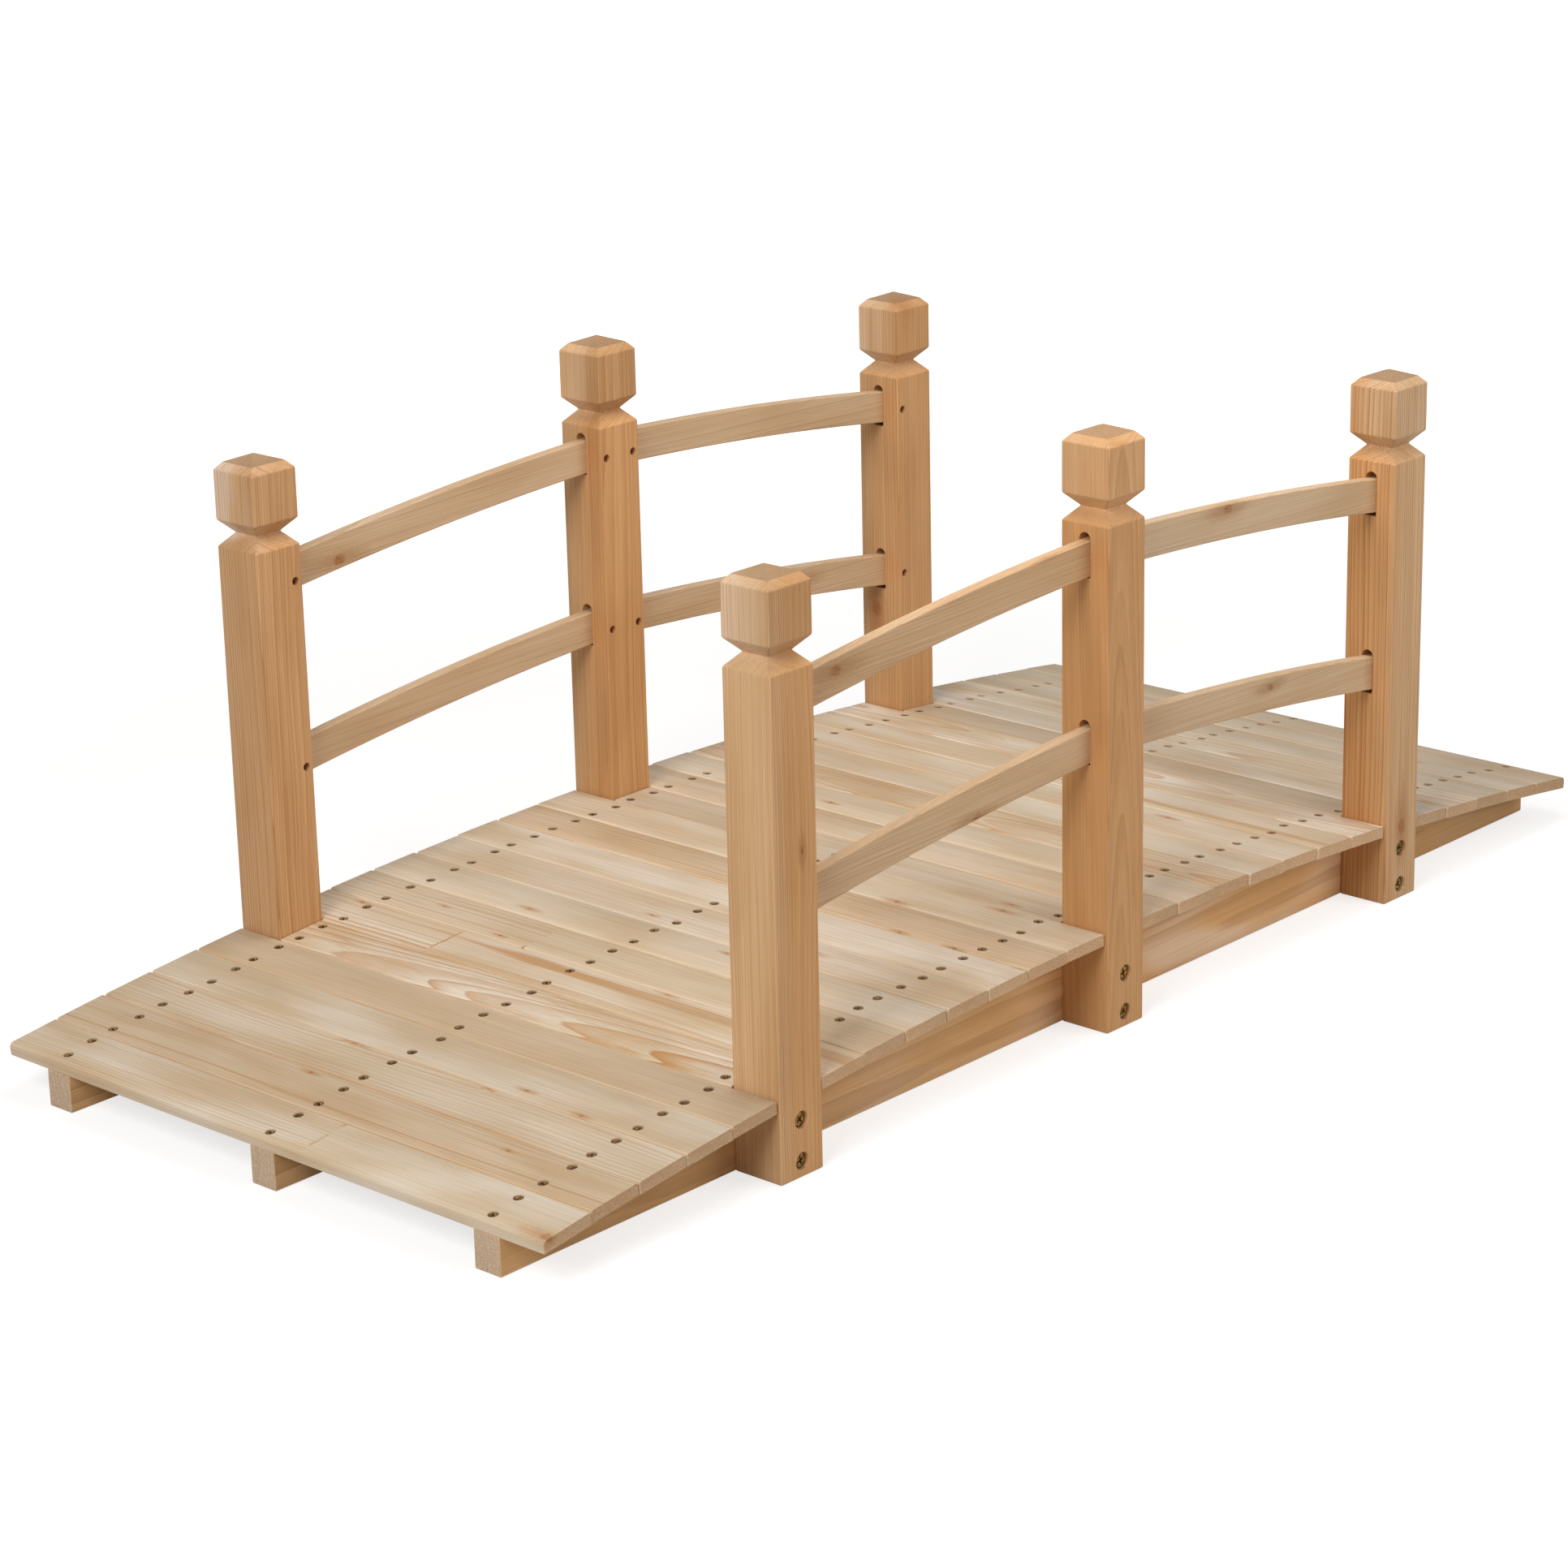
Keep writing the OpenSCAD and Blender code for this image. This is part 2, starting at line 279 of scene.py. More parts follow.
# Share of the step to white that a pale patch still lacks, tint of ruddy wood, and how much less ruddy and
# lined an end is
PALE_LACK = 0.72
RUDDY_TINT = (0.97, 0.81, 0.63)
END_LESS_RUDDY = 0.7
END_LESS_LINED = 0.5
# Lightness: a step of tone, and the weight of each pattern
TONE_STEP = 0.08
LIGHT = {"fibre": 0.36, "thread": 0.38, "cloud": 0.10}
# Roughness of each timber, what fibres and ends add to it and a year's line takes off
ROUGHNESS = {"stringers": 0.62, "deck": 0.60, "posts": 0.58, "rails": 0.60}
FIBRE_ROUGH = 0.22
END_ROUGH = 0.15
LINE_SMOOTH = 0.10
# Relief of the wood in millimetres, strength of its bump, and gloss
RELIEF = {"line": 0.04, "fibre": 0.16, "thread": 0.10, "pores": -0.3}
BUMP = 0.5
GLOSS = 0.3
# Stains on metal: stretch per metre, where they start and end, how dark they are, and what they roughen
STAIN = (420.0, 420.0, 420.0)
STAIN_STEP = (0.36, 0.62)
STAIN_DARK = 0.40
STAIN_ROUGH = 0.25
# Roughness of the deck screws, the post screws and the rail pins
BRONZED_ROUGHNESS = 0.30
ZINC_ROUGHNESS = 0.28
DARK_ROUGHNESS = 0.32

# Fine finish, in metres
PLANK_UNDER_EDGE = 0.0008
PLANK_END_EASE = 0.0009
PLANK_END_SHORT = 0.0026
PLANK_LIFT = 0.0002
STRINGER_EDGE = 0.0010
STRINGER_END_EASE = 0.0008
RAIL_END_EASE = 0.0006
FOOT_EASE = 0.0008
CAP_TIP = 0.0006
CORNER_EASE = 0.0012
BORE_SLACK = 0.0012
CUT_OVER = 0.001
# Most of a post's half width that its corner radius takes
CORNER_SHARE = 0.4
# Whole planks in each bay and past each end post
BAY_PLANKS = 7
TAIL_PLANKS = 5
# Flare of a deck screw's hole and of a post screw's counterbore: shares of the radius, and heights in metres
HOLE_FLARE = ((1.0, -0.0050), (1.05, -0.0012), (1.12, 0.0), (1.2, CUT_OVER))
BORE_FLARE = ((0.97, -0.0048), (1.0, -0.0006), (1.05, 0.0), (1.1, CUT_OVER))
# Sides of each round shape
HOLE_SIDES = 20
RECESS_SIDES = 24
BORE_SIDES = 40
SMALL_HEAD_SIDES = 12
BIG_HEAD_SIDES = 32
FLOOR_SIDES = 96
# A short plank's ends are this share as uneven
SHORT_PLANK_SHARE = 0.3
# Places along a stringer and along a rail where the section is worked out
STRINGER_STATIONS = 62
RAIL_STATIONS = 42
# Uneven places of the deck screws across and along a plank, and limits of how deep they are sunk
SCREW_WANDER_ACROSS = 0.0013
SCREW_WANDER_ALONG = 0.0016
DECK_SCREW_DEPTH = (0.0002, 0.0008)
# Depth of the drive in each screw, and of each head below the wood
DECK_SCREW_DRIVE = 0.0024
POST_SCREW_DRIVE = 0.0052
PIN_DRIVE = 0.0014
POST_SCREW_DEPTH = 0.0022
PIN_SCREW_DEPTH = 0.0070
# Width of a small screw head over that of its hole
HEAD_SHARE = 0.95
# Cross drive of a screw, in shares of the head's radius: disc, reach of the arms and width of its slope
DRIVE_DISC = 0.24
DRIVE_ARMS = 0.44
DRIVE_SLOPE = 0.12
# Share by which the drive gets shallower towards the rim, and how far the rim of the head drops
DRIVE_TAPER = 0.45
HEAD_DROP = 0.10
# Underside of a screw head: radii and heights in shares of the radius
HEAD_UNDERSIDE = ((0.97, -0.30), (0.45, -0.95))
# Radii of the rings of points on a small and on a big screw head, as shares of its radius
SMALL_RINGS = (0.10, 0.34, 0.66, 0.84, 1.0)
BIG_RINGS = (0.06, 0.16, 0.22, 0.30, 0.45, 0.58, 0.68, 0.78, 0.90, 0.97, 1.0)

# Lamps: place and target, and side of the square, in metres
LAMPS = {
    "key": ((-3.2, -0.9, 2.6), (0.0, 0.0, 0.25), 1.8),
    "side": ((1.0, -2.2, 1.6), (0.1, 0.0, 0.25), 1.6),
    "top": ((0.0, -0.15, 1.60), (0.0, -0.10, 0.0), 0.8),
}
# Colours of the lamps, of the background, of the floor's shade and of the light that it throws back
WARM_WHITE = (1.0, 0.985, 0.96)
WHITE = (1.0, 1.0, 1.0)
SHADE_GREY = (0.46, 0.46, 0.46)
PAPER_GREY = (0.50, 0.49, 0.47)
# Floor: glow near the bridge, what it gains and over which distances, and its shape, in metres
FLOOR_GLOW = 0.72
FLOOR_GAIN = 0.32
FLOOR_FADE = (0.9, 2.4)
FLOOR_RADIUS = 9.0
FLOOR_TOP = -0.0006
FLOOR_BOTTOM = -0.020
# Camera's sensor in millimetres, and how far it sees in metres
SENSOR_WIDTH = 36.0
SIGHT = 60.0


def length(name, description, default):
    """A size of the bridge, in metres."""
    return FloatProperty(name=name, description=description, default=default, min=0.0, precision=4,
                         unit="LENGTH")


def colour(name, description, red, green, blue):
    """A display colour from 0 to 255, kept as a linear colour."""
    display = np.array([red, green, blue]) / 255.0
    linear = np.where(display <= 0.04045, display / 12.92, ((display + 0.055) / 1.055) ** 2.4)
    return FloatVectorProperty(name=name, description=description, default=linear.tolist(), size=3,
                               min=0.0, max=1.0, subtype="COLOR")


class FootbridgeSizes(PropertyGroup):
    """Sizes of the timber and the screws."""
    arch_radius: length("Arch radius", "Radius of the arched top edge under the deck", 5.600)
    stringer_height: length("Stringer height", "Height of a stringer in the middle", 0.085)
    stringer_thickness: length("Stringer thickness", "Thickness of a stringer", 0.030)
    bridge_width: length("Bridge width", "Width over the outer faces of the posts", 0.678)
    plank_width: length("Plank width", "Width of a plank", 0.055)
    plank_thickness: length("Plank thickness", "Thickness of a plank", 0.012)
    plank_joint: length("Plank joint", "Pitch of the planks beyond their width", 0.0008)
    plank_swell: length("Plank swelling", "Most that a plank swells into its joints on each side", 0.0002)
    plank_inset: length("Plank inset", "Distance of the plank ends inside the posts' outer faces", 0.001)
    plank_seat: length("Plank seat", "Clearance of a flat plank over the arch", 0.0001)
    plank_edge: length("Plank edge", "Radius of the eased edges of a plank", 0.0026)
    nosing: length("Nosing", "Radius of the nosing at each end of the deck", 0.0045)
    post_width: length("Post width", "Side of the square post", 0.053)
    post_gap: length("Post gap", "Clearance between a post and the planks", 0.0008)
    end_shoulder: length("End shoulder", "Height of the shoulder on an end post", 0.446)
    mid_shoulder: length("Middle shoulder", "Height of the shoulder on a middle post", 0.477)
    groove_height: length("Groove height", "Height of the V groove", 0.025)
    groove_depth: length("Groove depth", "Depth of the V groove", 0.012)
    head_height: length("Head height", "Height of the head block", 0.0465)
    bevel_inset: length("Bevel inset", "Width of the bevel round the head", 0.0065)
    bevel_height: length("Bevel height", "Height of the bevel", 0.007)
    cap_rise: length("Cap rise", "Height of the pyramid", 0.007)
    timber_edge: length("Timber edge", "Radius of the eased edges of posts, rails and stringers", 0.0014)
    rail_height: length("Rail height", "Height of a rail", 0.033)
    rail_thickness: length("Rail thickness", "Thickness of a rail", 0.012)
    rail_radius: length("Rail radius", "Radius of the curved top edge of a rail", 4.300)
    upper_mid_drop: length("Upper middle drop", "Upper rail below the middle shoulder", 0.0145)
    upper_end_drop: length("Upper end drop", "Upper rail below the end shoulder", 0.0165)
    lower_mid_drop: length("Lower middle drop", "Lower rail below the middle shoulder", 0.1885)
    lower_end_drop: length("Lower end drop", "Lower rail below the end shoulder", 0.1945)
    mortise_depth: length("Mortise depth", "Depth of a mortise", 0.020)
    mortise_slack: length("Mortise slack", "Open height under the rail", 0.001)
    rail_gap: length("Rail gap", "Clearance around a rail", 0.00025)
    rail_end_gap: length("Rail end gap", "Clearance at the end of a rail", 0.0005)
    pin_width: length("Pin recess", "Diameter of a rail pin's recess", 0.008)
    pin_depth: length("Pin depth", "Depth of a rail pin's recess", 0.014)
    pin_edge: length("Pin edge", "Distance of a rail pin from the post's face", 0.008)
    deck_screw: length("Deck screw", "Diameter of a deck screw's head", 0.0086)
    deck_screw_pair: length("Deck screw pair", "Distance of a screw from the middle of its plank", 0.0152)
    post_screw: length("Post screw", "Diameter of a post screw's head", 0.0132)
    post_screw_low: length("Lower post screw", "Height of the lower post screw", 0.0145)
    post_screw_high: length("Upper post screw", "Height of the upper post screw", 0.0520)


class FootbridgeColours(PropertyGroup):
    """Colours of the timber and the screws."""
    deck_early: colour("Deck wood", "Pale early wood of the planks", 209, 190, 162)
    deck_late: colour("Deck grain", "Late wood lines of the planks", 180, 128, 66)
    post_early: colour("Post wood", "Pale early wood of the posts", 216, 178, 134)
    post_late: colour("Post grain", "Late wood lines of the posts", 168, 110, 60)
    rail_early: colour("Rail wood", "Pale early wood of the rails", 213, 183, 147)
    rail_late: colour("Rail grain", "Late wood lines of the rails", 172, 126, 80)
    # The stringer wood is partly its own pale colour and partly painted light, set paler to lift the
    # stringers out of the deck's shade
    stringer_early: colour("Stringer wood", "Pale early wood of the stringers", 236, 187, 128)
    stringer_late: colour("Stringer grain", "Late wood lines of the stringers", 176, 124, 76)
    end_grain: colour("End grain", "Sawn ends of the planks and rails", 212, 176, 140)
    post_end: colour("Post end", "Sawn caps and feet of the posts", 160, 135, 106)
    stringer_end: colour("Stringer end", "Sawn ends of the stringers", 214, 196, 174)
    knot: colour("Knot", "Brown heart of a knot", 158, 94, 48)
    deck_screw: colour("Deck screw", "Bronzed steel of the deck screws", 124, 94, 56)
    post_screw: colour("Post screw", "Yellow zinc of the post screws", 150, 118, 62)


class FootbridgeStudio(PropertyGroup):
    """Light and camera."""
    key: FloatProperty(name="Key light", description="Power of the lamp at the near end",
                       default=81.0, min=0.0, unit="POWER")
    side: FloatProperty(name="Side light", description="Power of the lamp at the right side",
                        default=21.5, min=0.0, unit="POWER")
    top: FloatProperty(name="Top light", description="Power of the lamp overhead",
                       default=9.0, min=0.0, unit="POWER")
    ambient: FloatProperty(name="Ambient", description="Strength of the light from all round",
                           default=0.20, min=0.0)
    lens: FloatProperty(name="Lens", description="Focal length of the camera in millimetres", default=96.59)
    eye: FloatVectorProperty(name="Eye", description="Place of the camera", size=3, subtype="TRANSLATION",
                             default=(-2.86599, -2.53753, 1.42418))
    forward: FloatVectorProperty(name="Forward", description="Direction the camera looks in", size=3,
                                 subtype="DIRECTION", default=(0.701689, 0.640424, -0.312233))
    up: FloatVectorProperty(name="Up", description="Direction of the top of the picture", size=3,
                            subtype="DIRECTION", default=(0.245971, 0.193545, 0.949757))


class Value:
    """An output of a node tree. Arithmetic on it adds Math nodes."""

    def __init__(self, nodes, socket):
        self.nodes = nodes
        self.socket = socket

    def math(self, operation, *given):
        """A Math node on the given values."""
        return self.nodes.add("ShaderNodeMath", {"operation": operation}, dict(enumerate(given)))

    def __add__(self, other):
        return self.math("ADD", self, other)

    def __radd__(self, other):
        return self.math("ADD", other, self)

    def __sub__(self, other):
        return self.math("SUBTRACT", self, other)

    def __rsub__(self, other):
        return self.math("SUBTRACT", other, self)

    def __mul__(self, other):
        return self.math("MULTIPLY", self, other)

    def __rmul__(self, other):
        return self.math("MULTIPLY", other, self)

    def __truediv__(self, other):
        return self.math("DIVIDE", self, other)

    def __rtruediv__(self, other):
        return self.math("DIVIDE", other, self)

    def __pow__(self, other):
        return self.math("POWER", self, other)

    def __abs__(self):
        return self.math("ABSOLUTE", self)

    def floor(self):
        """The whole number below."""
        return self.math("FLOOR", self)

    def fraction(self):
        """What is left above the whole number below."""
        return self.math("FRACT", self)

    def higher(self, other):
        """The greater of two values."""
        return self.math("MAXIMUM", self, other)

    def above(self, level):
        """1 above the level and 0 below."""
        return self.math("GREATER_THAN", self, level)

    def rise(self, low, high):
        """0 below low, 1 above high, and a smooth step between. It falls where low is over high."""
        return self.nodes.add("ShaderNodeMapRange", {"interpolation_type": "SMOOTHSTEP"},
                              {"Value": self, "From Min": low, "From Max": high})


class Nodes:
    """Adds nodes to the tree of a material or of the world."""

    def __init__(self, tree):
        self.tree = tree
        self.tree.nodes.clear()

    def add(self, kind, settings=None, inputs=None, output=0):
        """A node of that kind with its settings, then its inputs as numbers or links. Gives one output."""
        node = self.tree.nodes.new(kind)
        for name, setting in (settings or {}).items():
            setattr(node, name, setting)
        for name, given in (inputs or {}).items():
            if isinstance(given, Value):
                self.tree.links.new(given.socket, node.inputs[name])
            else:
                node.inputs[name].default_value = given
        return Value(self, node.outputs[output]) if len(node.outputs) else node

    def attribute(self, name, output="Vector"):
        """A value stored on the points of the piece."""
        return self.add("ShaderNodeAttribute", {"attribute_name": name}, {}, output)

    def parts(self, vector):
        """The three numbers of a vector."""
        first = self.add("ShaderNodeSeparateXYZ", {}, {0: vector})
        return [Value(self, output) for output in first.socket.node.outputs]

    def vector(self, operation, first, second, output="Vector"):
        """Vector arithmetic. SCALE takes a number as its second value."""
        name = "Scale" if operation == "SCALE" else 1
        return self.add("ShaderNodeVectorMath", {"operation": operation}, {0: first, name: second}, output)

    def size(self, vector):
        """Length of a vector."""
        return self.add("ShaderNodeVectorMath", {"operation": "LENGTH"}, {0: vector}, "Value")

    def noise(self, vector, stretch, detail=2.0, output=0):
        """Smooth noise on a vector that is first stretched along its axes."""
        place = self.vector("MULTIPLY", vector, stretch)
        return self.add("ShaderNodeTexNoise", {"noise_dimensions": "3D"},
                        {"Vector": place, "Scale": 1.0, "Detail": detail}, output)

    def row_noise(self, place, detail):
        """Smooth noise on a number."""
        return self.add("ShaderNodeTexNoise", {"noise_dimensions": "1D"},
                        {"W": place, "Scale": 1.0, "Detail": detail})

    def shown(self):
        """1 for rays from the camera, in reflections and through glass, 0 for rays that only carry light."""
        outputs = self.add("ShaderNodeLightPath").socket.node.outputs
        camera, glossy, glass = [Value(self, outputs[f"Is {kind} Ray"])
                                 for kind in ("Camera", "Glossy", "Transmission")]
        return camera + glossy + glass

    def mix(self, factor, first, second):
        """A colour between two colours."""
        return self.add("ShaderNodeMix", {"data_type": "RGBA"}, {0: factor, 6: first, 7: second}, 2)


def rgba(tint):
    """A colour property as the four numbers of a colour socket."""
    return (*tint, 1.0)


def new_material(name):
    """An empty node material."""
    material = bpy.data.materials.new(name)
    material.use_nodes = True
    return material, Nodes(material.node_tree)


def surface(nodes, inputs, height=None, bump=0.0):
    """Ends a material in one Principled surface. height is its relief in millimetres."""
    if height is not None:
        relief = {"Height": height, "Strength": bump, "Distance": 1.0 / MILLIMETRES}
        inputs["Normal"] = nodes.add("ShaderNodeBump", {}, relief)
    shader = nodes.add("ShaderNodeBsdfPrincipled", {}, inputs)
    nodes.add("ShaderNodeOutputMaterial", {}, {"Surface": shader})


class Wood:
    """Marks of sawn softwood: what a piece stores on its points, the patterns, and colours laid over each
    other."""

    def __init__(self, nodes, grain_axis):
        self.nodes = nodes
        self.place = nodes.attribute("grain")
        self.tone, contrast, self.ring_width = nodes.parts(nodes.attribute("board"))
        self.ruddy, self.pale, self.seed = nodes.parts(nodes.attribute("tint"))
        self.glue = nodes.attribute("glue", "Fac")
        self.second_length = self.glue.above(0.0)
        self.contrast = contrast * (1.0 + self.second_length * GLUE_CONTRAST)
        self.pattern = {name: nodes.noise(self.place, stretch, detail) - 0.5
                        for name, (stretch, detail) in PATTERNS.items()}
        self.streak = self.pattern["streak"].rise(*MARK_STEPS["streak"])
        self.pores = self.pattern["pores"].rise(*MARK_STEPS["pores"])
        self.knots = [nodes.attribute("knot_one"), nodes.attribute("knot_two")]
        self.from_knots = [nodes.size(knot) + self.pattern["ragged"] * KNOT_RAGGED for knot in self.knots]
        facing = nodes.add("ShaderNodeNewGeometry", {}, {}, "Normal")
        along = abs(nodes.vector("DOT_PRODUCT", facing, tuple(grain_axis), "Value"))
        self.end = along.rise(*MARK_STEPS["end"])
        self.line, self.band = self.years()

    def years(self):
        """Line of the year, and bands of darker years. The rings are shells about a pith: distance from it,
        bent by slow noise and pushed out by knots, divided by the ring width. Each ring darkens by a power of
        the share passed, up to its outer edge, and then starts pale again."""
        nodes = self.nodes
        bend = nodes.vector("SUBTRACT", nodes.noise(self.place, BEND, 1.0, 1), (0.5, 0.5, 0.5))
        bent = nodes.vector("ADD", self.place, nodes.vector("SCALE", bend, BEND_REACH))
        flat = nodes.vector("MULTIPLY", bent, (1.0, 1.0, 0.0))
        pushes = [1.0 / (1.0 + (far / KNOT_REACH) ** 3.0) for far in self.from_knots]
        swell = (pushes[0] + pushes[1]) * self.ring_width * KNOT_PUSH
        depth = nodes.size(flat) + self.pattern["ripple"] * RIPPLE_REACH + swell
        depth = depth + self.second_length * GLUE_SHIFT
        uneven = nodes.row_noise(depth * YEARS_STRETCH + self.seed, 2.0)
        band = nodes.row_noise(depth * BANDS_STRETCH - self.seed, 1.0) - 0.5
        phase = (depth + uneven * YEARS_REACH) / self.ring_width
        share = phase.fraction()
        number = phase.floor() + self.seed
        year = nodes.add("ShaderNodeTexWhiteNoise", {"noise_dimensions": "1D"}, {"W": number})
        strength = PALEST_YEAR + (1.0 - PALEST_YEAR) * year
        line = share ** LINE_POWER * share.rise(1.0, LINE_END) * strength * self.contrast
        return line, band * self.contrast

    def patches(self, early, late):
        """Early wood with pale and dark patches, and a stripe of heartwood that fades in along the grain."""
        nodes = self.nodes
        beside, before, _ = nodes.parts(nodes.attribute("stripe"))
        cloud = self.pattern["cloud"]
        whiter = [1.0 - (1.0 - channel) * PALE_LACK for channel in early]
        heart = [old * (1.0 - STRIPE_EARLY) + young * STRIPE_EARLY for old, young in zip(late, early)]
        patch = cloud + self.band * BANDS_SHARE
        wood = nodes.mix(self.pale * patch.rise(*MARK_STEPS["pale_patch"]), rgba(early), rgba(whiter))
        wood = nodes.mix(patch.rise(*MARK_STEPS["dark_patch"]) * MARK_COVER["dark_patch"], wood, rgba(late))
        beside = abs(beside + self.pattern["ripple"] * STRIPE_RAGGED)
        stripe = beside + before.higher(0.0) + self.pattern["fibre"] * STRIPE_FIBRE
        cover = MARK_COVER["stripe"] + cloud
        return nodes.mix(stripe.rise(*MARK_STEPS["stripe"]) * cover, wood, rgba(heart))

    def grained(self, wood, late, end_grain):
        """End grain, year lines, streaks, pores, a ruddy tint and fine fibres over the wood."""
        nodes = self.nodes
        streak = self.streak * (1.0 - self.end) * MARK_COVER["streak"] * self.contrast
        wood = nodes.mix(self.end * MARK_COVER["end"], wood, rgba(end_grain))
        wood = nodes.mix(self.line * (1.0 - END_LESS_LINED * self.end), wood, rgba(late))
        wood = nodes.mix(streak, wood, rgba(late))
        wood = nodes.mix(self.end * self.pores * MARK_COVER["pores"], wood, rgba(late))
        # The ruddiness also carries painted shade on some faces of the posts
        redder = nodes.vector("MULTIPLY", wood, RUDDY_TINT)
        wood = nodes.mix(self.ruddy * (1.0 - END_LESS_RUDDY * self.end), wood, redder)
        # The tone also carries painted light: a highlight on plank edges, shade across planks and towards the
        # ends of the deck, and lighter or darker post heads and stringer bays
        light = 1.0 + self.tone * TONE_STEP
        for name, weight in LIGHT.items():
            light = light + self.pattern[name] * weight
        return nodes.vector("SCALE", wood, light)

    def knotted(self, wood, late, knot):
        """Knots over the wood, each with a flame that is longer along the grain."""
        nodes = self.nodes
        ragged = self.pattern["ragged"] * FLAME_RAGGED + self.streak * FLAME_STREAK
        cover = MARK_COVER["knot"] + MARK_COVER["knot_pores"] * self.pores
        for place, far in zip(self.knots, self.from_knots):
            flame = nodes.size(nodes.vector("MULTIPLY", place, FLAME)) + ragged
            wood = nodes.mix(flame.rise(*MARK_STEPS["flame"]) * MARK_COVER["flame"], wood, rgba(late))
            wood = nodes.mix(far.rise(*MARK_STEPS["knot"]) * cover, wood, rgba(knot))
        return wood

    def seamed(self, wood, late):
        """The dark, broken seam of a glue line over the wood."""
        seam = abs(self.glue + self.pattern["ragged"] * GLUE_RAGGED).rise(*MARK_STEPS["seam"])
        gaps = self.pattern["cloud"].rise(*MARK_STEPS["seam_gaps"])
        return self.nodes.mix(seam * gaps * MARK_COVER["seam"], wood, rgba(late))

    def relief(self):
        """Height of the surface: year lines, fibres and threads stand out, and pores in an end are sunk."""
        grain = self.line * RELIEF["line"] + self.pattern["fibre"] * RELIEF["fibre"]
        return grain + self.pattern["thread"] * RELIEF["thread"] + self.end * self.pores * RELIEF["pores"]


def wood_material(name, early, late, end_grain, knot, grain_axis, roughness):
    """Sawn softwood on one surface: patches, and then the grain, the knots and a glue line over them."""
    material, nodes = new_material(name)
    wood = Wood(nodes, grain_axis)
    base = wood.patches(early, late)
    base = wood.grained(base, late, end_grain)
    base = wood.knotted(base, late, knot)
    base = wood.seamed(base, late)
    rough = roughness + wood.pattern["fibre"] * FIBRE_ROUGH - wood.line * LINE_SMOOTH + wood.end * END_ROUGH
    surface(nodes, {"Base Color": base, "Roughness": rough, "Specular IOR Level": GLOSS}, wood.relief(), BUMP)
    return material


def metal_material(name, tint, roughness):
    """Plated steel, a little stained: noise moves its colour and its gloss."""
    material, nodes = new_material(name)
    place = nodes.add("ShaderNodeTexCoord", {}, {}, "Object")
    stain = nodes.noise(place, STAIN, 3.0)
    dark = [channel * STAIN_DARK for channel in tint]
    plating = nodes.mix(stain.rise(*STAIN_STEP), rgba(dark), rgba(tint))
    surface(nodes, {"Base Color": plating, "Metallic": 1.0, "Roughness": roughness + stain * STAIN_ROUGH})
    return material


def skin(rings):
    """Points and faces of a closed tube through rings of points: quads between neighbours, one face on
    each end."""
    count, around = rings.shape[:2]
    index = np.arange(count * around).reshape(count, around)
    following = np.roll(index, -1, axis=1)
    quads = np.stack([index[:-1], following[:-1], following[1:], index[1:]], axis=-1).reshape(-1, 4)
    faces = quads.tolist() + [index[0, ::-1].tolist(), index[-1].tolist()]
    return rings.reshape(-1, 3), faces


def rounded_rectangles(half_a, half_b, radii, steps=4):
    """One ring for each size: a corner's centre is (half - radius) times its signs, and its arc adds the
    radius times the cosine and sine of a quarter turn. radii has a column for each of the four corners."""
    quarter = np.linspace(0.0, np.pi / 2.0, steps + 1)
    turn = np.arange(4)[:, None] * np.pi / 2.0 + quarter[None, :]
    sign_a = np.array([1.0, -1.0, -1.0, 1.0])
    sign_b = np.array([1.0, 1.0, -1.0, -1.0])
    a = (half_a[:, None] - radii) * sign_a
    b = (half_b[:, None] - radii) * sign_b
    a = a[:, :, None] + radii[:, :, None] * np.cos(turn)
    b = b[:, :, None] + radii[:, :, None] * np.sin(turn)
    return np.stack([a, b], axis=-1).reshape(len(half_a), -1, 2)


def eased_stations(start, end, ease, between=()):
    """Places along a timber and how far its section shrinks there: a quarter circle of radius ease at each
    end."""
    turn = np.linspace(0.0, np.pi / 2.0, 4)
    rise = ease * (1.0 - np.cos(turn))
    shrink = ease * (1.0 - np.sin(turn))
    places = np.concatenate([start + rise, np.asarray(between, float), end - rise[::-1]])
    shrinks = np.concatenate([shrink, np.zeros(len(between)), shrink[::-1]])
    return places, shrinks


def eased_polyline(points, ease, steps=3, most=0.45):
    """A polyline whose inner corners are replaced by short parabolas that start and end at distance ease, or
    at the share most of a short side."""
    corner = points[1:-1]
    back = points[:-2] - corner
    ahead = points[2:] - corner
    back = corner + back * np.minimum(ease / np.linalg.norm(back, axis=1), most)[:, None]
    ahead = corner + ahead * np.minimum(ease / np.linalg.norm(ahead, axis=1), most)[:, None]
    t = np.linspace(0.0, 1.0, steps + 1)[None, :, None]
    arcs = (1 - t) ** 2 * back[:, None] + 2 * t * (1 - t) * corner[:, None] + t ** 2 * ahead[:, None]
    return np.concatenate([points[:1], arcs.reshape(-1, 2), points[-1:]])


def turned(profile, segments):
    """Rings of a turned solid: each (radius, height) of the profile goes round the Z axis."""
    turn = np.arange(segments) * 2.0 * np.pi / segments
    radius = profile[:, :1]
    ring_x = radius * np.cos(turn)
    ring_y = radius * np.sin(turn)
    ring_z = np.repeat(profile[:, 1:], segments, axis=1)
    return np.stack([ring_x, ring_y, ring_z], axis=-1)


def drilled(radius, flare, segments):
    """A drill hole's shape: shares of the radius and heights turned about the Z axis."""
    return skin(turned(np.array(flare) * np.array([radius, 1.0]), segments))


def repeated(points, faces, turns, places):
    """Copies of one shape: each copy is its turn matrix times the points, plus its place."""
    copies = np.einsum("kij,nj->kni", turns, points) + places[:, None, :]
    count = len(points)
    all_faces = [[corner + k * count for corner in face] for k in range(len(places)) for face in faces]
    return copies.reshape(-1, 3), all_faces


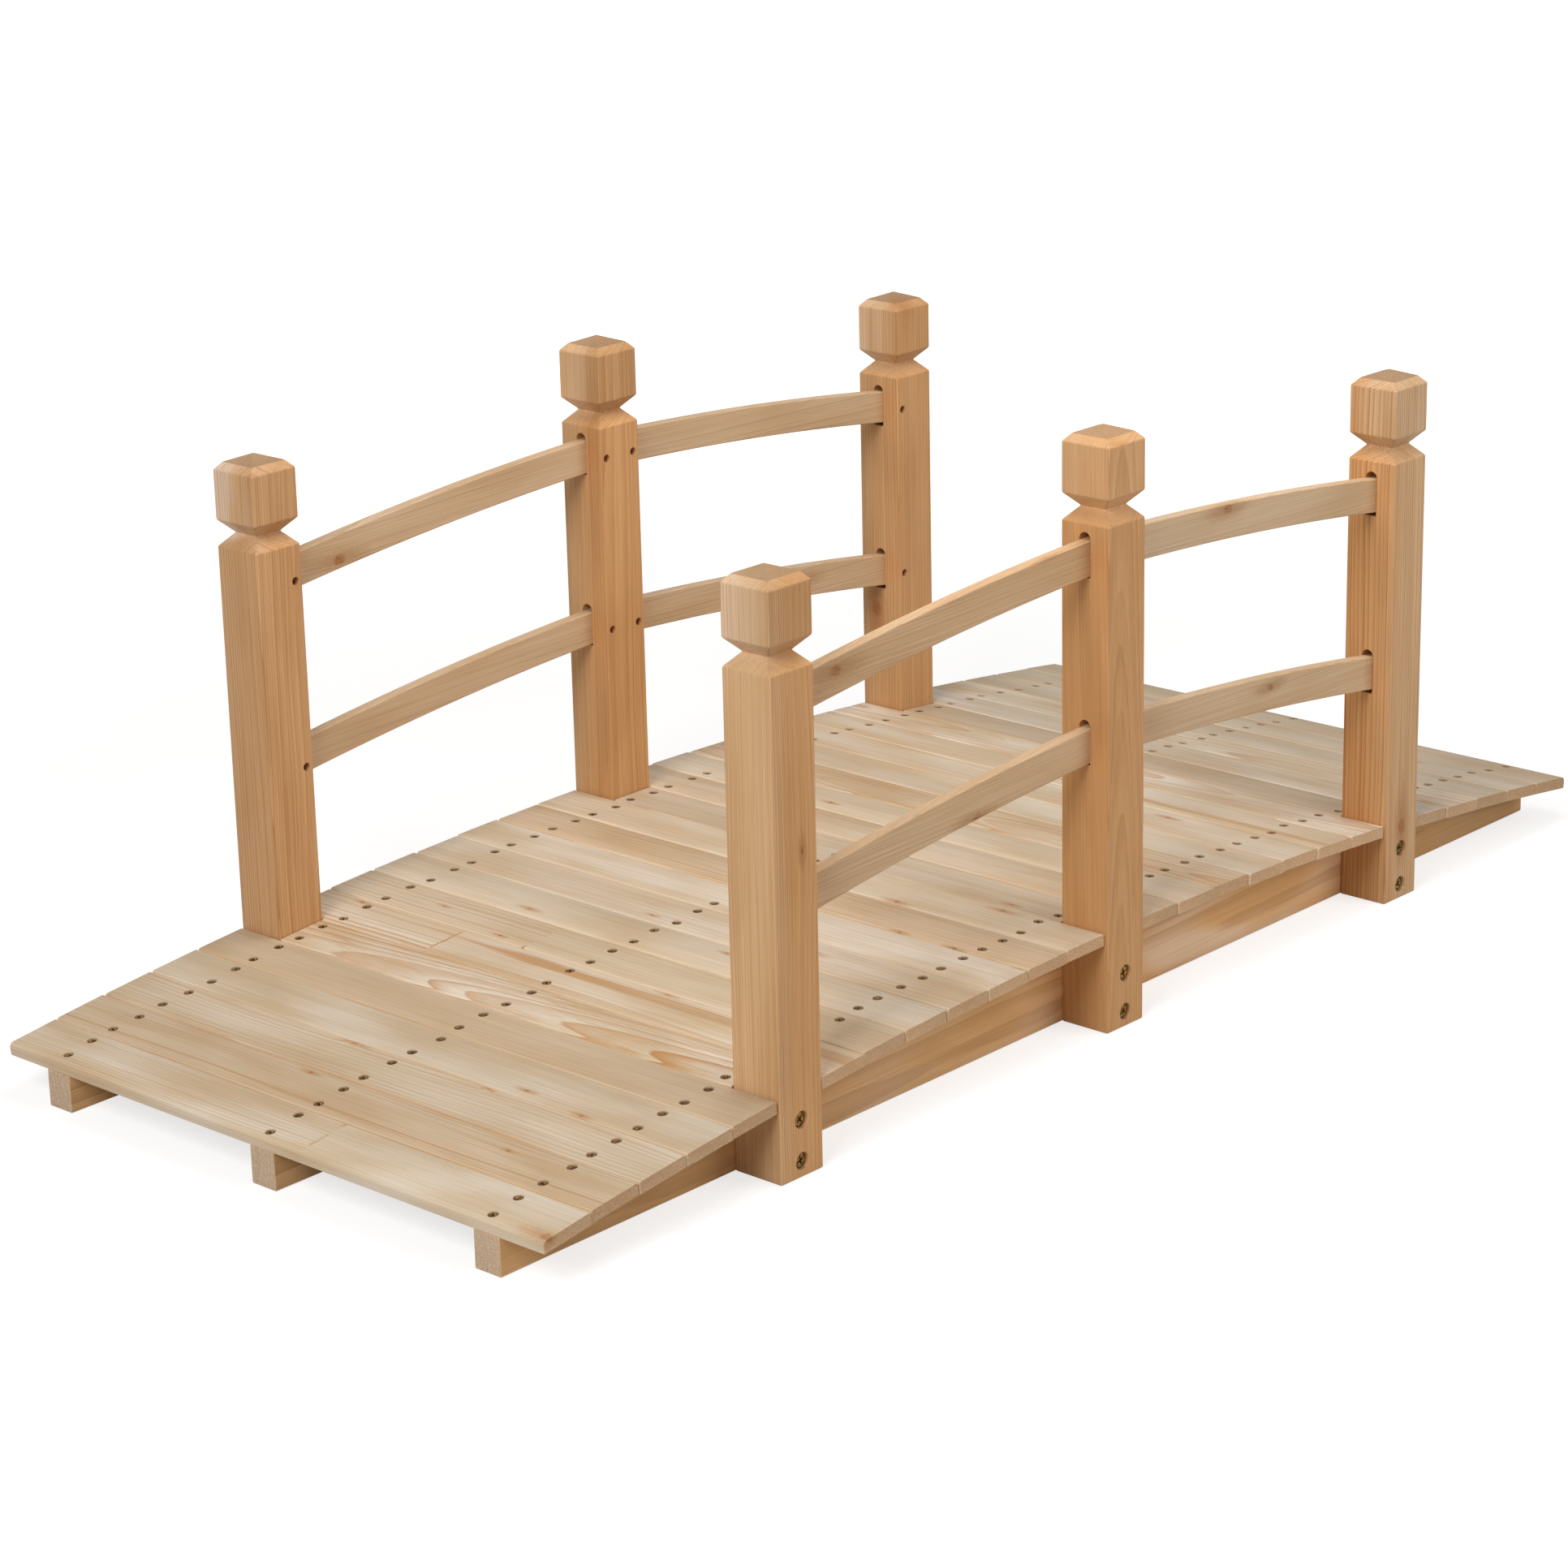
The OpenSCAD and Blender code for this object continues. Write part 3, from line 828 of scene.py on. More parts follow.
def new_piece(name, points, faces):
    """A mesh object with its place in its mesh and its faces turned outwards."""
    mesh = bpy.data.meshes.new(name)
    mesh.from_pydata(points.tolist(), [], faces)
    shape = bmesh.new()
    shape.from_mesh(mesh)
    bmesh.ops.recalc_face_normals(shape, faces=shape.faces)
    shape.to_mesh(mesh)
    shape.free()
    piece = bpy.data.objects.new(name, mesh)
    bpy.context.scene.collection.objects.link(piece)
    return piece


def carve(piece, points, faces):
    """Takes the cutter's solids out of a piece."""
    cutter = new_piece(piece.name + "_cutter", points, faces)
    modifier = piece.modifiers.new("carve", "BOOLEAN")
    modifier.operation = "DIFFERENCE"
    modifier.solver = "EXACT"
    modifier.object = cutter
    graph = bpy.context.evaluated_depsgraph_get()
    carved = bpy.data.meshes.new_from_object(piece.evaluated_get(graph))
    if len(carved.polygons) <= len(piece.data.polygons):
        raise RuntimeError("the cut left no mark on " + piece.name)
    piece.modifiers.clear()
    old = piece.data
    piece.data = carved
    bpy.data.meshes.remove(old)
    bpy.data.objects.remove(cutter)


def store(mesh, name, kind, values):
    """Stores one value for each point of a mesh."""
    attribute = mesh.attributes.new(name, kind, "POINT")
    field = "vector" if kind == "FLOAT_VECTOR" else "value"
    attribute.data.foreach_set(field, np.ascontiguousarray(values, dtype=np.float32).ravel())


def soften(piece, angle=0.6):
    """Smooth shading with crisp edges over the angle, and flat faces kept flat."""
    mesh = piece.data
    mesh.polygons.foreach_set("use_smooth", np.ones(len(mesh.polygons), dtype=bool))
    mesh.set_sharp_from_angle(angle=angle)
    even = piece.modifiers.new("even_shading", "WEIGHTED_NORMAL")
    even.keep_sharp = True


def drawn(chance, limits):
    """A number drawn evenly between two limits."""
    low, high = limits
    return low + (high - low) * chance.random()


class Log:
    """How a timber lies in its tree: the middle of the timber, its three axes, the pith beside it, the lean
    of the pith along the grain and the place up the trunk, in metres."""

    def __init__(self, middle, across, depth, along, pith, lean, height):
        self.middle = np.asarray(middle, float)
        self.axes = np.stack([across, depth, along], axis=1)
        self.pith = np.array([pith[0], pith[1], -height])
        self.lean = lean

    def local(self, points):
        """Place of points across, in depth and along the timber."""
        return (points - self.middle) @ self.axes

    def grain(self, points):
        """Place of points from the pith, in millimetres."""
        place = self.local(points)
        from_pith = place - self.pith
        from_pith[:, 1] -= self.lean * place[:, 2]
        return from_pith * MILLIMETRES


def dress(piece, material, log, board, tint, node, marks):
    """Stores the values that the wood material reads on every point, and puts the piece in the place of its
    CAD node. board is tone, contrast and ring width, and tint is ruddiness, paleness and a seed. marks may
    hold knots, ellipsoids that are longer along the grain; glue, the place of a glue line; stripe, a row of
    STRIPES; slopes, how tone and ruddiness grow per metre across and in depth, which is painted shade;
    edge_highlight, the distance from the middle past which the wood gets a painted highlight; and change, a
    part of the length that is painted lighter or darker as painted light: places along, shares there, change
    of tone, ruddiness and paleness, and its growth per metre in depth."""
    mesh = piece.data
    points = np.empty(len(mesh.vertices) * 3, dtype=np.float32)
    mesh.vertices.foreach_get("co", points)
    points = points.reshape(-1, 3).astype(float)
    local = log.local(points)
    # The slopes are painted shade: a plank's tone grows across it, and a post's ruddiness grows towards its
    # more shaded faces
    slopes = np.array(marks.get("slopes", ((0.0, 0.0), (0.0, 0.0))))
    growth = local[:, :2] @ slopes.T
    boards = np.tile(board, (len(points), 1))
    # Points near the eased edges of a plank get a painted highlight: their tone is raised
    boards[:, 0] += growth[:, 0] + EDGE_HIGHLIGHT_TONE * (np.abs(local[:, 0]) > marks.get("edge_highlight", FAR_AWAY))
    tints = np.tile(tint, (len(points), 1))
    tints[:, 0] += growth[:, 1]
    # The change is painted light: a part of the length drawn lighter or darker
    places, shares, shift, shift_growth = marks.get("change", NO_CHANGE)
    share = np.interp(local[:, 2], places, shares)[:, None]
    change = share * (np.array(shift) + local[:, 1:2] * np.array(shift_growth))
    boards[:, 0] += change[:, 0]
    tints[:, :2] += change[:, 1:]
    no_stripe = (FAR_AWAY, 0.0, 1.0, FAR_AWAY)
    stripe, stripe_slope, stripe_half, stripe_start = marks.get("stripe", no_stripe)
    beside = (local[:, 0] - stripe - stripe_slope * local[:, 2]) / stripe_half
    before = 1.0 + (local[:, 2] - stripe_start) / STRIPE_TAPER
    store(mesh, "grain", "FLOAT_VECTOR", log.grain(points))
    store(mesh, "board", "FLOAT_VECTOR", boards)
    store(mesh, "tint", "FLOAT_VECTOR", tints)
    store(mesh, "glue", "FLOAT", (local[:, 2] - marks.get("glue", FAR_AWAY)) * MILLIMETRES)
    store(mesh, "stripe", "FLOAT_VECTOR", np.stack([beside, before, np.zeros_like(before)], axis=1))
    knots = list(marks.get("knots", [])) + [(FAR_AWAY, FAR_AWAY, FAR_AWAY, 1.0)] * 2
    for name, (across, depth, along, radius) in zip(("knot_one", "knot_two"), knots):
        from_knot = local - np.array([across, depth, along])
        store(mesh, name, "FLOAT_VECTOR", from_knot / (radius * np.array([1.0, 1.0, KNOT_STRETCH])))
    mesh.materials.clear()
    mesh.materials.append(material)
    soften(piece)
    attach(piece, "root")
    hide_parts(node)


def deck_layout(sizes):
    """Start and end angle of each plank about the centre of the arch, and whether it spans the whole width.
    Each half has the whole planks of its bay, a short one between the end posts and the whole ones past them,
    and a short one between the middle posts joins the halves."""
    radius = sizes.arch_radius
    pitch = (sizes.plank_width + sizes.plank_joint) / radius
    plank = sizes.plank_width / radius
    gap = sizes.plank_joint / radius
    half_post = sizes.post_width / 2.0 + sizes.post_gap
    middle = np.arcsin(half_post / radius)
    bay_end = middle + BAY_PLANKS * pitch - gap
    post_x = deck_top_radius(sizes) * np.sin(bay_end) + half_post
    tail = np.arcsin((post_x + half_post) / radius)
    half = [(middle + k * pitch, middle + k * pitch + plank, True) for k in range(BAY_PLANKS)]
    half.append((bay_end + gap, tail - gap, False))
    half += [(tail + k * pitch, tail + k * pitch + plank, True) for k in range(TAIL_PLANKS)]
    mirrored = [(-end, -start, whole) for start, end, whole in reversed(half)]
    return mirrored + [(gap - middle, middle - gap, False)] + half


def deck_top_radius(sizes):
    """Radius of the top of the deck at the middle of a plank."""
    return sizes.arch_radius + sizes.plank_seat + sizes.plank_thickness


def plank_frame(sizes, place):
    """Middle of a plank's underside, its direction across and its direction up."""
    angle = (place[0] + place[1]) / 2.0
    across = np.array([np.cos(angle), 0.0, -np.sin(angle)])
    up = np.array([np.sin(angle), 0.0, np.cos(angle)])
    centre = np.array([0.0, 0.0, sizes.stringer_height - sizes.arch_radius])
    return centre + up * (sizes.arch_radius + sizes.plank_seat), across, up


def plank_name(number):
    """Name of a plank's CAD node, counted from the front end."""
    return f"plank_{number + 1:02d}"


def deck_screw_places(sizes):
    """Plank, place, across, up, depth and turn of every deck screw: two in each plank over each stringer, a
    little uneven."""
    chance = np.random.default_rng(DRAWS["deck_screws"])
    stringer_y = sizes.bridge_width / 2.0 - sizes.post_width - sizes.stringer_thickness / 2.0
    places = []
    for number, place in enumerate(deck_layout(sizes)):
        middle, across, up = plank_frame(sizes, place)
        top = middle + up * sizes.plank_thickness
        for row in STRINGERS.values():
            for side in (-1, 1):
                offset = side * sizes.deck_screw_pair + chance.normal(0.0, SCREW_WANDER_ACROSS)
                y = row * stringer_y + chance.normal(0.0, SCREW_WANDER_ALONG)
                depth = drawn(chance, DECK_SCREW_DEPTH)
                turn = chance.random() * np.pi
                places.append((number, top + across * offset + Y_AXIS * y, across, up, depth, turn))
    return places


def rail_arc(sizes, level):
    """Centre of the arc of a rail's top edge in the back bay: it passes at its radius through the rail's
    height at the face of the middle post and of the end post."""
    post_x = end_post_x()
    mid_drop = sizes.upper_mid_drop if level == "upper" else sizes.lower_mid_drop
    end_drop = sizes.upper_end_drop if level == "upper" else sizes.lower_end_drop
    start = np.array([sizes.post_width / 2.0, sizes.mid_shoulder - mid_drop])
    end = np.array([post_x - sizes.post_width / 2.0, sizes.end_shoulder - end_drop])
    chord = end - start
    span = np.linalg.norm(chord)
    rise = np.sqrt(sizes.rail_radius ** 2 - (span / 2.0) ** 2)
    return (start + end) / 2.0 - rise * np.array([-chord[1], chord[0]]) / span


def end_post_x():
    """Distance of the end posts from the middle of the bridge."""
    low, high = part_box("right_back_post")
    return (low[0] + high[0]) / 2.0


def rail_edges(sizes, level, x):
    """Heights of the top and bottom edge of a rail at distances x from the middle of the bridge."""
    centre = rail_arc(sizes, level)
    top = centre[1] + np.sqrt(sizes.rail_radius ** 2 - (x - centre[0]) ** 2)
    bottom = centre[1] + np.sqrt((sizes.rail_radius - sizes.rail_height) ** 2 - (x - centre[0]) ** 2)
    return top, bottom


def rail_ends(sizes, row):
    """Where rails enter a post: for each, the bay's sign, the post's face and the way into the post."""
    if row == 0:
        return [(bay, sizes.post_width / 2.0, -1.0) for bay in (-1, 1)]
    return [(row, end_post_x() - sizes.post_width / 2.0, 1.0)]


def pin_places(sizes):
    """Place of each rail pin's mouth on the inner faces of the posts, and its direction out of the post."""
    inner = sizes.bridge_width / 2.0 - sizes.post_width
    places = []
    for side in SIDES.values():
        for row in ROWS.values():
            for bay, face, inward in rail_ends(sizes, row):
                for level in LEVELS:
                    x = face + inward * sizes.pin_edge
                    top, bottom = rail_edges(sizes, level, np.array([x]))
                    mouth = np.array([bay * x, side * inner, (top[0] + bottom[0]) / 2.0])
                    places.append((mouth, -side * Y_AXIS))
    return places


def post_screw_places(sizes):
    """Place of each post screw on the outer faces of the posts, and its direction out of the post."""
    heights = (sizes.post_screw_low, sizes.post_screw_high)
    return [(np.array([row * end_post_x(), side * sizes.bridge_width / 2.0, height]), side * Y_AXIS)
            for side in SIDES.values() for row in ROWS.values() for height in heights]


def facing_turn(out, spin=0.0):
    """Turn matrix that takes Z to the direction out, with a spin about it."""
    quaternion = Vector(out).to_track_quat("Z", "Y")
    return np.array(quaternion.to_matrix() @ Matrix.Rotation(spin, 3, "Z"))


def mortise_cutter(sizes, level, bay, face, inward, y):
    """A slot with a round top: half a circle over the top of the rail and a square foot under it, along X."""
    foot = face + inward * sizes.mortise_depth
    mouth = face - inward * sizes.rail_thickness
    top, bottom = rail_edges(sizes, level, np.array([face, foot]))
    high = top.max() + sizes.rail_gap
    low = bottom.min() - sizes.rail_gap - sizes.mortise_slack
    radius = sizes.rail_thickness / 2.0 + sizes.rail_gap
    turn = np.linspace(0.0, np.pi, 13)
    ring_y = np.append(radius * np.cos(turn), [-radius, radius]) + y
    ring_z = np.append(high + radius * np.sin(turn), [low, low])
    ends = np.array([mouth, foot]) * bay
    ring = np.stack([np.zeros_like(ring_y), ring_y, ring_z], axis=-1)
    return skin(ring[None] + ends[:, None, None] * X_AXIS)


def joined(shapes):
    """Several shapes as one list of points and faces."""
    points = []
    faces = []
    count = 0
    for shape_points, shape_faces in shapes:
        points.append(shape_points)
        faces += [[corner + count for corner in face] for face in shape_faces]
        count += len(shape_points)
    return np.concatenate(points), faces


def screw_head(width, segments, recess, rings):
    """A flat screw head, top at height 0: the top sinks by the recess where the radius is less than the reach
    of a cross, a small disc plus four arms that follow the eighth power of the cosine of twice the turn, and
    drops towards the rim by the sixth power of the share of the radius."""
    radius = width / 2.0
    turn = np.arange(segments) * 2.0 * np.pi / segments
    reach = radius * (DRIVE_DISC + DRIVE_ARMS * np.cos(2.0 * turn) ** 8)
    share = np.array(rings)[:, None]
    sunk = np.clip((reach - radius * share) / (radius * DRIVE_SLOPE), 0.0, 1.0)
    top = turned(np.concatenate([radius * share, np.zeros_like(share)], axis=1), segments)
    top[:, :, 2] = -recess * sunk * (1.0 - DRIVE_TAPER * share) - HEAD_DROP * radius * share ** 6
    side = turned(np.array(HEAD_UNDERSIDE) * radius, segments)
    return skin(np.concatenate([top, side])[::-1])


class FOOTBRIDGE_OT_stage(Operator):
    """Plain pale floor, soft studio light and the camera"""
    bl_idname = "footbridge.stage"
    bl_label = "Stage"

    def execute(self, context):
        studio = context.scene.footbridge_studio
        self.make_floor()
        self.make_world(context.scene, studio)
        for name, (place, target, size) in LAMPS.items():
            self.make_lamp(name + "_lamp", place, target, size, getattr(studio, name))
        self.make_camera(context.scene, studio)
        context.scene.view_settings.view_transform = "Standard"
        return {"FINISHED"}

    def make_floor(self):
        """A flat disc that shows white with the bridge's soft shadow, and reflects plain light onto it."""
        ring = turned(np.array([[FLOOR_RADIUS, FLOOR_BOTTOM], [FLOOR_RADIUS, FLOOR_TOP]]), FLOOR_SIDES)
        floor = new_piece("floor", *skin(ring))
        material, nodes = new_material("floor_paper")
        place = nodes.add("ShaderNodeTexCoord", {}, {}, "Object")
        brightness = FLOOR_GLOW + nodes.size(place).rise(*FLOOR_FADE) * FLOOR_GAIN
        glow = nodes.add("ShaderNodeEmission", {}, {"Color": rgba(WHITE), "Strength": brightness})
        shade = nodes.add("ShaderNodeBsdfDiffuse", {}, {"Color": rgba(SHADE_GREY)})
        paper = nodes.add("ShaderNodeBsdfDiffuse", {}, {"Color": rgba(PAPER_GREY)})
        bright = nodes.add("ShaderNodeAddShader", {}, {0: glow, 1: shade})
        mixed = nodes.add("ShaderNodeMixShader", {}, {0: nodes.shown(), 1: paper, 2: bright})
        nodes.add("ShaderNodeOutputMaterial", {}, {"Surface": mixed})
        floor.data.materials.append(material)

    def make_world(self, scene, studio):
        """Even light from all round, seen as white."""
        world = bpy.data.worlds.new("studio")
        world.use_nodes = True
        nodes = Nodes(world.node_tree)
        light = nodes.add("ShaderNodeBackground", {}, {"Color": rgba(WARM_WHITE), "Strength": studio.ambient})
        white = nodes.add("ShaderNodeBackground", {}, {"Color": rgba(WHITE), "Strength": 1.0})
        mixed = nodes.add("ShaderNodeMixShader", {}, {0: nodes.shown(), 1: light, 2: white})
        nodes.add("ShaderNodeOutputWorld", {}, {"Surface": mixed})
        scene.world = world

    def make_lamp(self, name, place, target, size, power):
        """A square area lamp that faces a point."""
        lamp = bpy.data.lights.new(name, "AREA")
        lamp.size = size
        lamp.energy = power
        lamp.color = WARM_WHITE
        holder = bpy.data.objects.new(name, lamp)
        holder.location = place
        holder.rotation_euler = (Vector(target) - Vector(place)).to_track_quat("-Z", "Y").to_euler()
        bpy.context.scene.collection.objects.link(holder)

    def make_camera(self, scene, studio):
        """A long lens at the photograph's viewing angle."""
        camera = bpy.data.cameras.new("camera")
        camera.lens = studio.lens
        camera.sensor_width = SENSOR_WIDTH
        camera.clip_end = SIGHT
        holder = bpy.data.objects.new("camera", camera)
        back = -Vector(studio.forward).normalized()
        up = Vector(studio.up).normalized()
        right = up.cross(back).normalized()
        up = back.cross(right)
        turn = Matrix((right, up, back)).transposed().to_4x4()
        holder.matrix_world = Matrix.Translation(studio.eye) @ turn
        scene.collection.objects.link(holder)
        scene.camera = holder


class FOOTBRIDGE_OT_stringers(Operator):
    """Three stringers with flat undersides and arched top edges"""
    bl_idname = "footbridge.stringers"
    bl_label = "Stringers"

    def execute(self, context):
        sizes = context.scene.footbridge_sizes
        colours = context.scene.footbridge_colours
        material = wood_material("stringer_wood", colours.stringer_early, colours.stringer_late,
                                 colours.stringer_end, colours.knot, X_AXIS, ROUGHNESS["stringers"])
        chance = np.random.default_rng(DRAWS["stringers"])
        for name, row in STRINGERS.items():
            node = name + "_stringer"
            low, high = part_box(node)
            between = np.linspace(low[0], high[0], STRINGER_STATIONS)[1:-1]
            x, shrink = eased_stations(low[0], high[0], STRINGER_END_EASE, between)
            top = np.sqrt(sizes.arch_radius ** 2 - x ** 2) - sizes.arch_radius + sizes.stringer_height
            edge = np.tile(np.full(4, STRINGER_EDGE), (len(x), 1))
            thickness = np.full(len(x), sizes.stringer_thickness / 2.0)
            ring = rounded_rectangles(thickness - shrink, top / 2.0 - shrink, edge)
            rings = np.stack([np.repeat(x[:, None], ring.shape[1], axis=1),
                              ring[:, :, 0] + (low[1] + high[1]) / 2.0,
                              ring[:, :, 1] + top[:, None] / 2.0], axis=-1)
            piece = new_piece(node + "_timber", *skin(rings))
            middle = np.array([0.0, (low[1] + high[1]) / 2.0, 0.0])
            pith_y = STRINGER_PITH_BESIDE if row <= 0 else -STRINGER_PITH_BESIDE
            pith_z = STRINGER_PITH_HEIGHT + STRINGER_PITH_STEP * row
            trunk = chance.random() * TRUNK_HEIGHT
            log = Log(middle, Y_AXIS, Z_AXIS, X_AXIS, (pith_y, pith_z), STRINGER_LEAN, trunk)
            tone = STRINGER_TONE + chance.normal(0.0, STRINGER_TONE_SPREAD)
            board = (tone, STRINGER_CONTRAST, STRINGER_RINGS)
            tint = (STRINGER_RUDDINESS * chance.random(), PLAIN_PALENESS, chance.random() * SEEDS)
            # The right stringer gets painted light: lighter in the back bay, against the shade of the deck's
            # overhang
            marks = {"change": STRINGER_PAINTED_LIGHT} if name == "right" else {}
            dress(piece, material, log, board, tint, node, marks)
        return {"FINISHED"}


class FOOTBRIDGE_OT_deck(Operator):
    """Cross planks with eased edges and sunk screw holes"""
    bl_idname = "footbridge.deck"
    bl_label = "Deck planks"

    def execute(self, context):
        sizes = context.scene.footbridge_sizes
        colours = context.scene.footbridge_colours
        material = wood_material("deck_wood", colours.deck_early, colours.deck_late, colours.end_grain,
                                 colours.knot, Y_AXIS, ROUGHNESS["deck"])
        layout = deck_layout(sizes)
        screws = deck_screw_places(sizes)
        chance = np.random.default_rng(DRAWS["planks"])
        for number, place in enumerate(layout):
            piece = self.make_plank(sizes, layout, number, chance)
            holes = [screw for screw in screws if screw[0] == number]
            carve(piece, *self.hole_cutter(sizes, holes))
            self.finish(sizes, piece, place, number, material, chance)
        return {"FINISHED"}

    def make_plank(self, sizes, layout, number, chance):
        """A flat board: an outline with eased edges carried along Y, with its ends a little uneven."""
        start, end, whole = layout[number]
        width = (end - start) * sizes.arch_radius + 2.0 * sizes.plank_swell * chance.random() ** 0.5
        inner = sizes.bridge_width / 2.0 - sizes.post_width - sizes.post_gap
        reach = sizes.bridge_width / 2.0 - sizes.plank_inset if whole else inner
        short = PLANK_END_SHORT * chance.random(2) * (1.0 if whole else SHORT_PLANK_SHARE)
        y, shrink = eased_stations(-reach + short[0], reach - short[1], PLANK_END_EASE)
        front = sizes.nosing if number == 0 else sizes.plank_edge
        back = sizes.nosing if number == len(layout) - 1 else sizes.plank_edge
        radii = np.tile(np.array([back, front, PLANK_UNDER_EDGE, PLANK_UNDER_EDGE]), (len(y), 1))
        half_width = np.full(len(y), width / 2.0) - shrink
        half_thick = np.full(len(y), sizes.plank_thickness / 2.0) - shrink
        ring = rounded_rectangles(half_width, half_thick, radii)
        middle, across, up = plank_frame(sizes, layout[number])
        middle = middle + up * (sizes.plank_thickness / 2.0 + PLANK_LIFT * chance.random())
        rings = middle + ring[:, :, :1] * across + ring[:, :, 1:] * up + y[:, None, None] * Y_AXIS
        return new_piece(plank_name(number) + "_timber", *skin(rings))

    def hole_cutter(self, sizes, holes):
        """One flared drill hole for each screw, square to the plank."""
        points, faces = drilled(sizes.deck_screw / 2.0, HOLE_FLARE, HOLE_SIDES)
        turns = np.array([np.stack([across, Y_AXIS, up], axis=1) for _, _, across, up, _, _ in holes])
        return repeated(points, faces, turns, np.array([hole[1] for hole in holes]))

    def finish(self, sizes, piece, place, number, material, chance):
        """Gives the plank its own log. A few planks are cut close to the pith and show an arched figure."""
        node = plank_name(number)
        middle, across, up = plank_frame(sizes, place)
        side = 1.0 if chance.random() < 0.5 else -1.0
        plain = (side * drawn(chance, PLANK_PITH_BESIDE), -drawn(chance, PLANK_PITH_BELOW),
                 chance.normal(0.0, PLANK_LEAN), drawn(chance, PLANK_RINGS))
        pith_x, pith_z, lean, ring_width = FIGURED.get(node, plain)
        # The plank's tone is partly its own and partly painted shade towards the ends of the deck
        tone, contrast, ruddy, pale = PLANK_LOOKS[number]
        log = Log(middle, across, up, Y_AXIS, (pith_x, pith_z), lean, chance.random() * TRUNK_HEIGHT)
        board = (tone, contrast, ring_width)
        tint = (ruddy, pale, chance.random() * SEEDS)
        # Painted shade across the plank: its tone grows from one edge to the other
        painted_shade_slope = chance.normal(PLANK_PAINTED_SHADE, PLANK_PAINTED_SHADE_SPREAD) / (sizes.plank_width / 2.0)
        # The painted highlight on the plank's eased edges starts at this distance from its middle
        edge_highlight = sizes.plank_width / 2.0 - sizes.plank_edge * EDGE_HIGHLIGHT_SHARE
        knots = [(x, sizes.plank_thickness, y, radius) for x, y, radius in DECK_KNOTS.get(node, [])]
        marks = {"edge_highlight": edge_highlight, "slopes": ((painted_shade_slope, 0.0), (0.0, 0.0)), "knots": knots}
        for name, table in (("glue", GLUE_LINES), ("stripe", STRIPES)):
            if node in table:
                marks[name] = table[node]
        dress(piece, material, log, board, tint, node, marks)


class FOOTBRIDGE_OT_posts(Operator):
    """Six square posts with a V groove, a head and a shallow pyramid, mortised for the rails"""
    bl_idname = "footbridge.posts"
    bl_label = "Posts"

    def execute(self, context):
        sizes = context.scene.footbridge_sizes
        colours = context.scene.footbridge_colours
        material = wood_material("post_wood", colours.post_early, colours.post_late, colours.post_end,
                                 colours.knot, Z_AXIS, ROUGHNESS["posts"])
        chance = np.random.default_rng(DRAWS["posts"])
        for side_name, side in SIDES.items():
            for row_name, row in ROWS.items():
                node = f"{side_name}_{row_name}_post"
                low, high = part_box(node)
                foot = np.array([(low[0] + high[0]) / 2.0, (low[1] + high[1]) / 2.0, 0.0])
                piece = self.make_post(sizes, node, foot, row)
                carve(piece, *self.cutter(sizes, side, row, foot))
                pith_x, pith_y, lean, ring_width, contrast, tone, ruddy, *growth = POST_GRAIN[node]
                trunk = chance.random() * TRUNK_HEIGHT
                log = Log(foot, X_AXIS, Y_AXIS, Z_AXIS, (pith_x, pith_y), lean, trunk)
                tint = (ruddy, POST_PALENESS, chance.random() * SEEDS)
                board = (tone, contrast, ring_width)
                shoulder = sizes.mid_shoulder if row == 0 else sizes.end_shoulder
                groove = (shoulder, shoulder + sizes.groove_height / 2.0)
                # The slopes paint shade on some faces of the post as added ruddiness
                marks = {"knots": POST_KNOTS[node], "slopes": ((0.0, 0.0), growth),
                         # Above the groove the head gets painted light: it is lighter or darker than the
                         # shaft
                         "change": (groove, (0.0, 1.0), *POST_HEAD_PAINTED_LIGHT[node])}
                dress(piece, material, log, board, tint, node, marks)
        return {"FINISHED"}

    def make_post(self, sizes, node, foot, row):
        """A square with round corners carried up an outline of half widths: shaft, groove, head and cap."""
        half = sizes.post_width / 2.0
        shoulder = sizes.mid_shoulder if row == 0 else sizes.end_shoulder
        head = shoulder + sizes.groove_height
        bevel = head + sizes.head_height
        outline = np.array([
            [half - FOOT_EASE, 0.0],
            [half, FOOT_EASE],
            [half, shoulder],
            [half - sizes.groove_depth, shoulder + sizes.groove_height / 2.0],
            [half, head],
            [half, bevel],
            [half - sizes.bevel_inset, bevel + sizes.bevel_height],
            [CAP_TIP, bevel + sizes.bevel_height + sizes.cap_rise],
        ])
        outline = eased_polyline(outline, CORNER_EASE)
        radius = np.minimum(sizes.timber_edge, outline[:, 0] * CORNER_SHARE)
        ring = rounded_rectangles(outline[:, 0], outline[:, 0], np.tile(radius[:, None], (1, 4)))
        height = np.repeat(outline[:, 1][:, None, None], ring.shape[1], axis=1)
        return new_piece(node + "_timber", *skin(np.concatenate([ring, height], axis=-1) + foot))

    def cutter(self, sizes, side, row, foot):
        """Mortises, rail pin recesses and counterbores of one post."""
        shapes = []
        straight = ((1.0, -sizes.pin_depth), (1.0, CUT_OVER))
        recess = drilled(sizes.pin_width / 2.0, straight, RECESS_SIDES)
        counterbore = drilled(sizes.post_screw / 2.0 + BORE_SLACK, BORE_FLARE, BORE_SIDES)
        for bay, face, inward in rail_ends(sizes, row):
            shapes += [mortise_cutter(sizes, level, bay, face, inward, foot[1]) for level in LEVELS]
        for base, places in ((recess, pin_places(sizes)), (counterbore, post_screw_places(sizes))):
            for mouth, out in places:
                if abs(mouth[0] - foot[0]) < sizes.post_width and mouth[1] * side > 0.0:
                    shapes.append(repeated(*base, facing_turn(out)[None], mouth[None]))
        return joined(shapes)


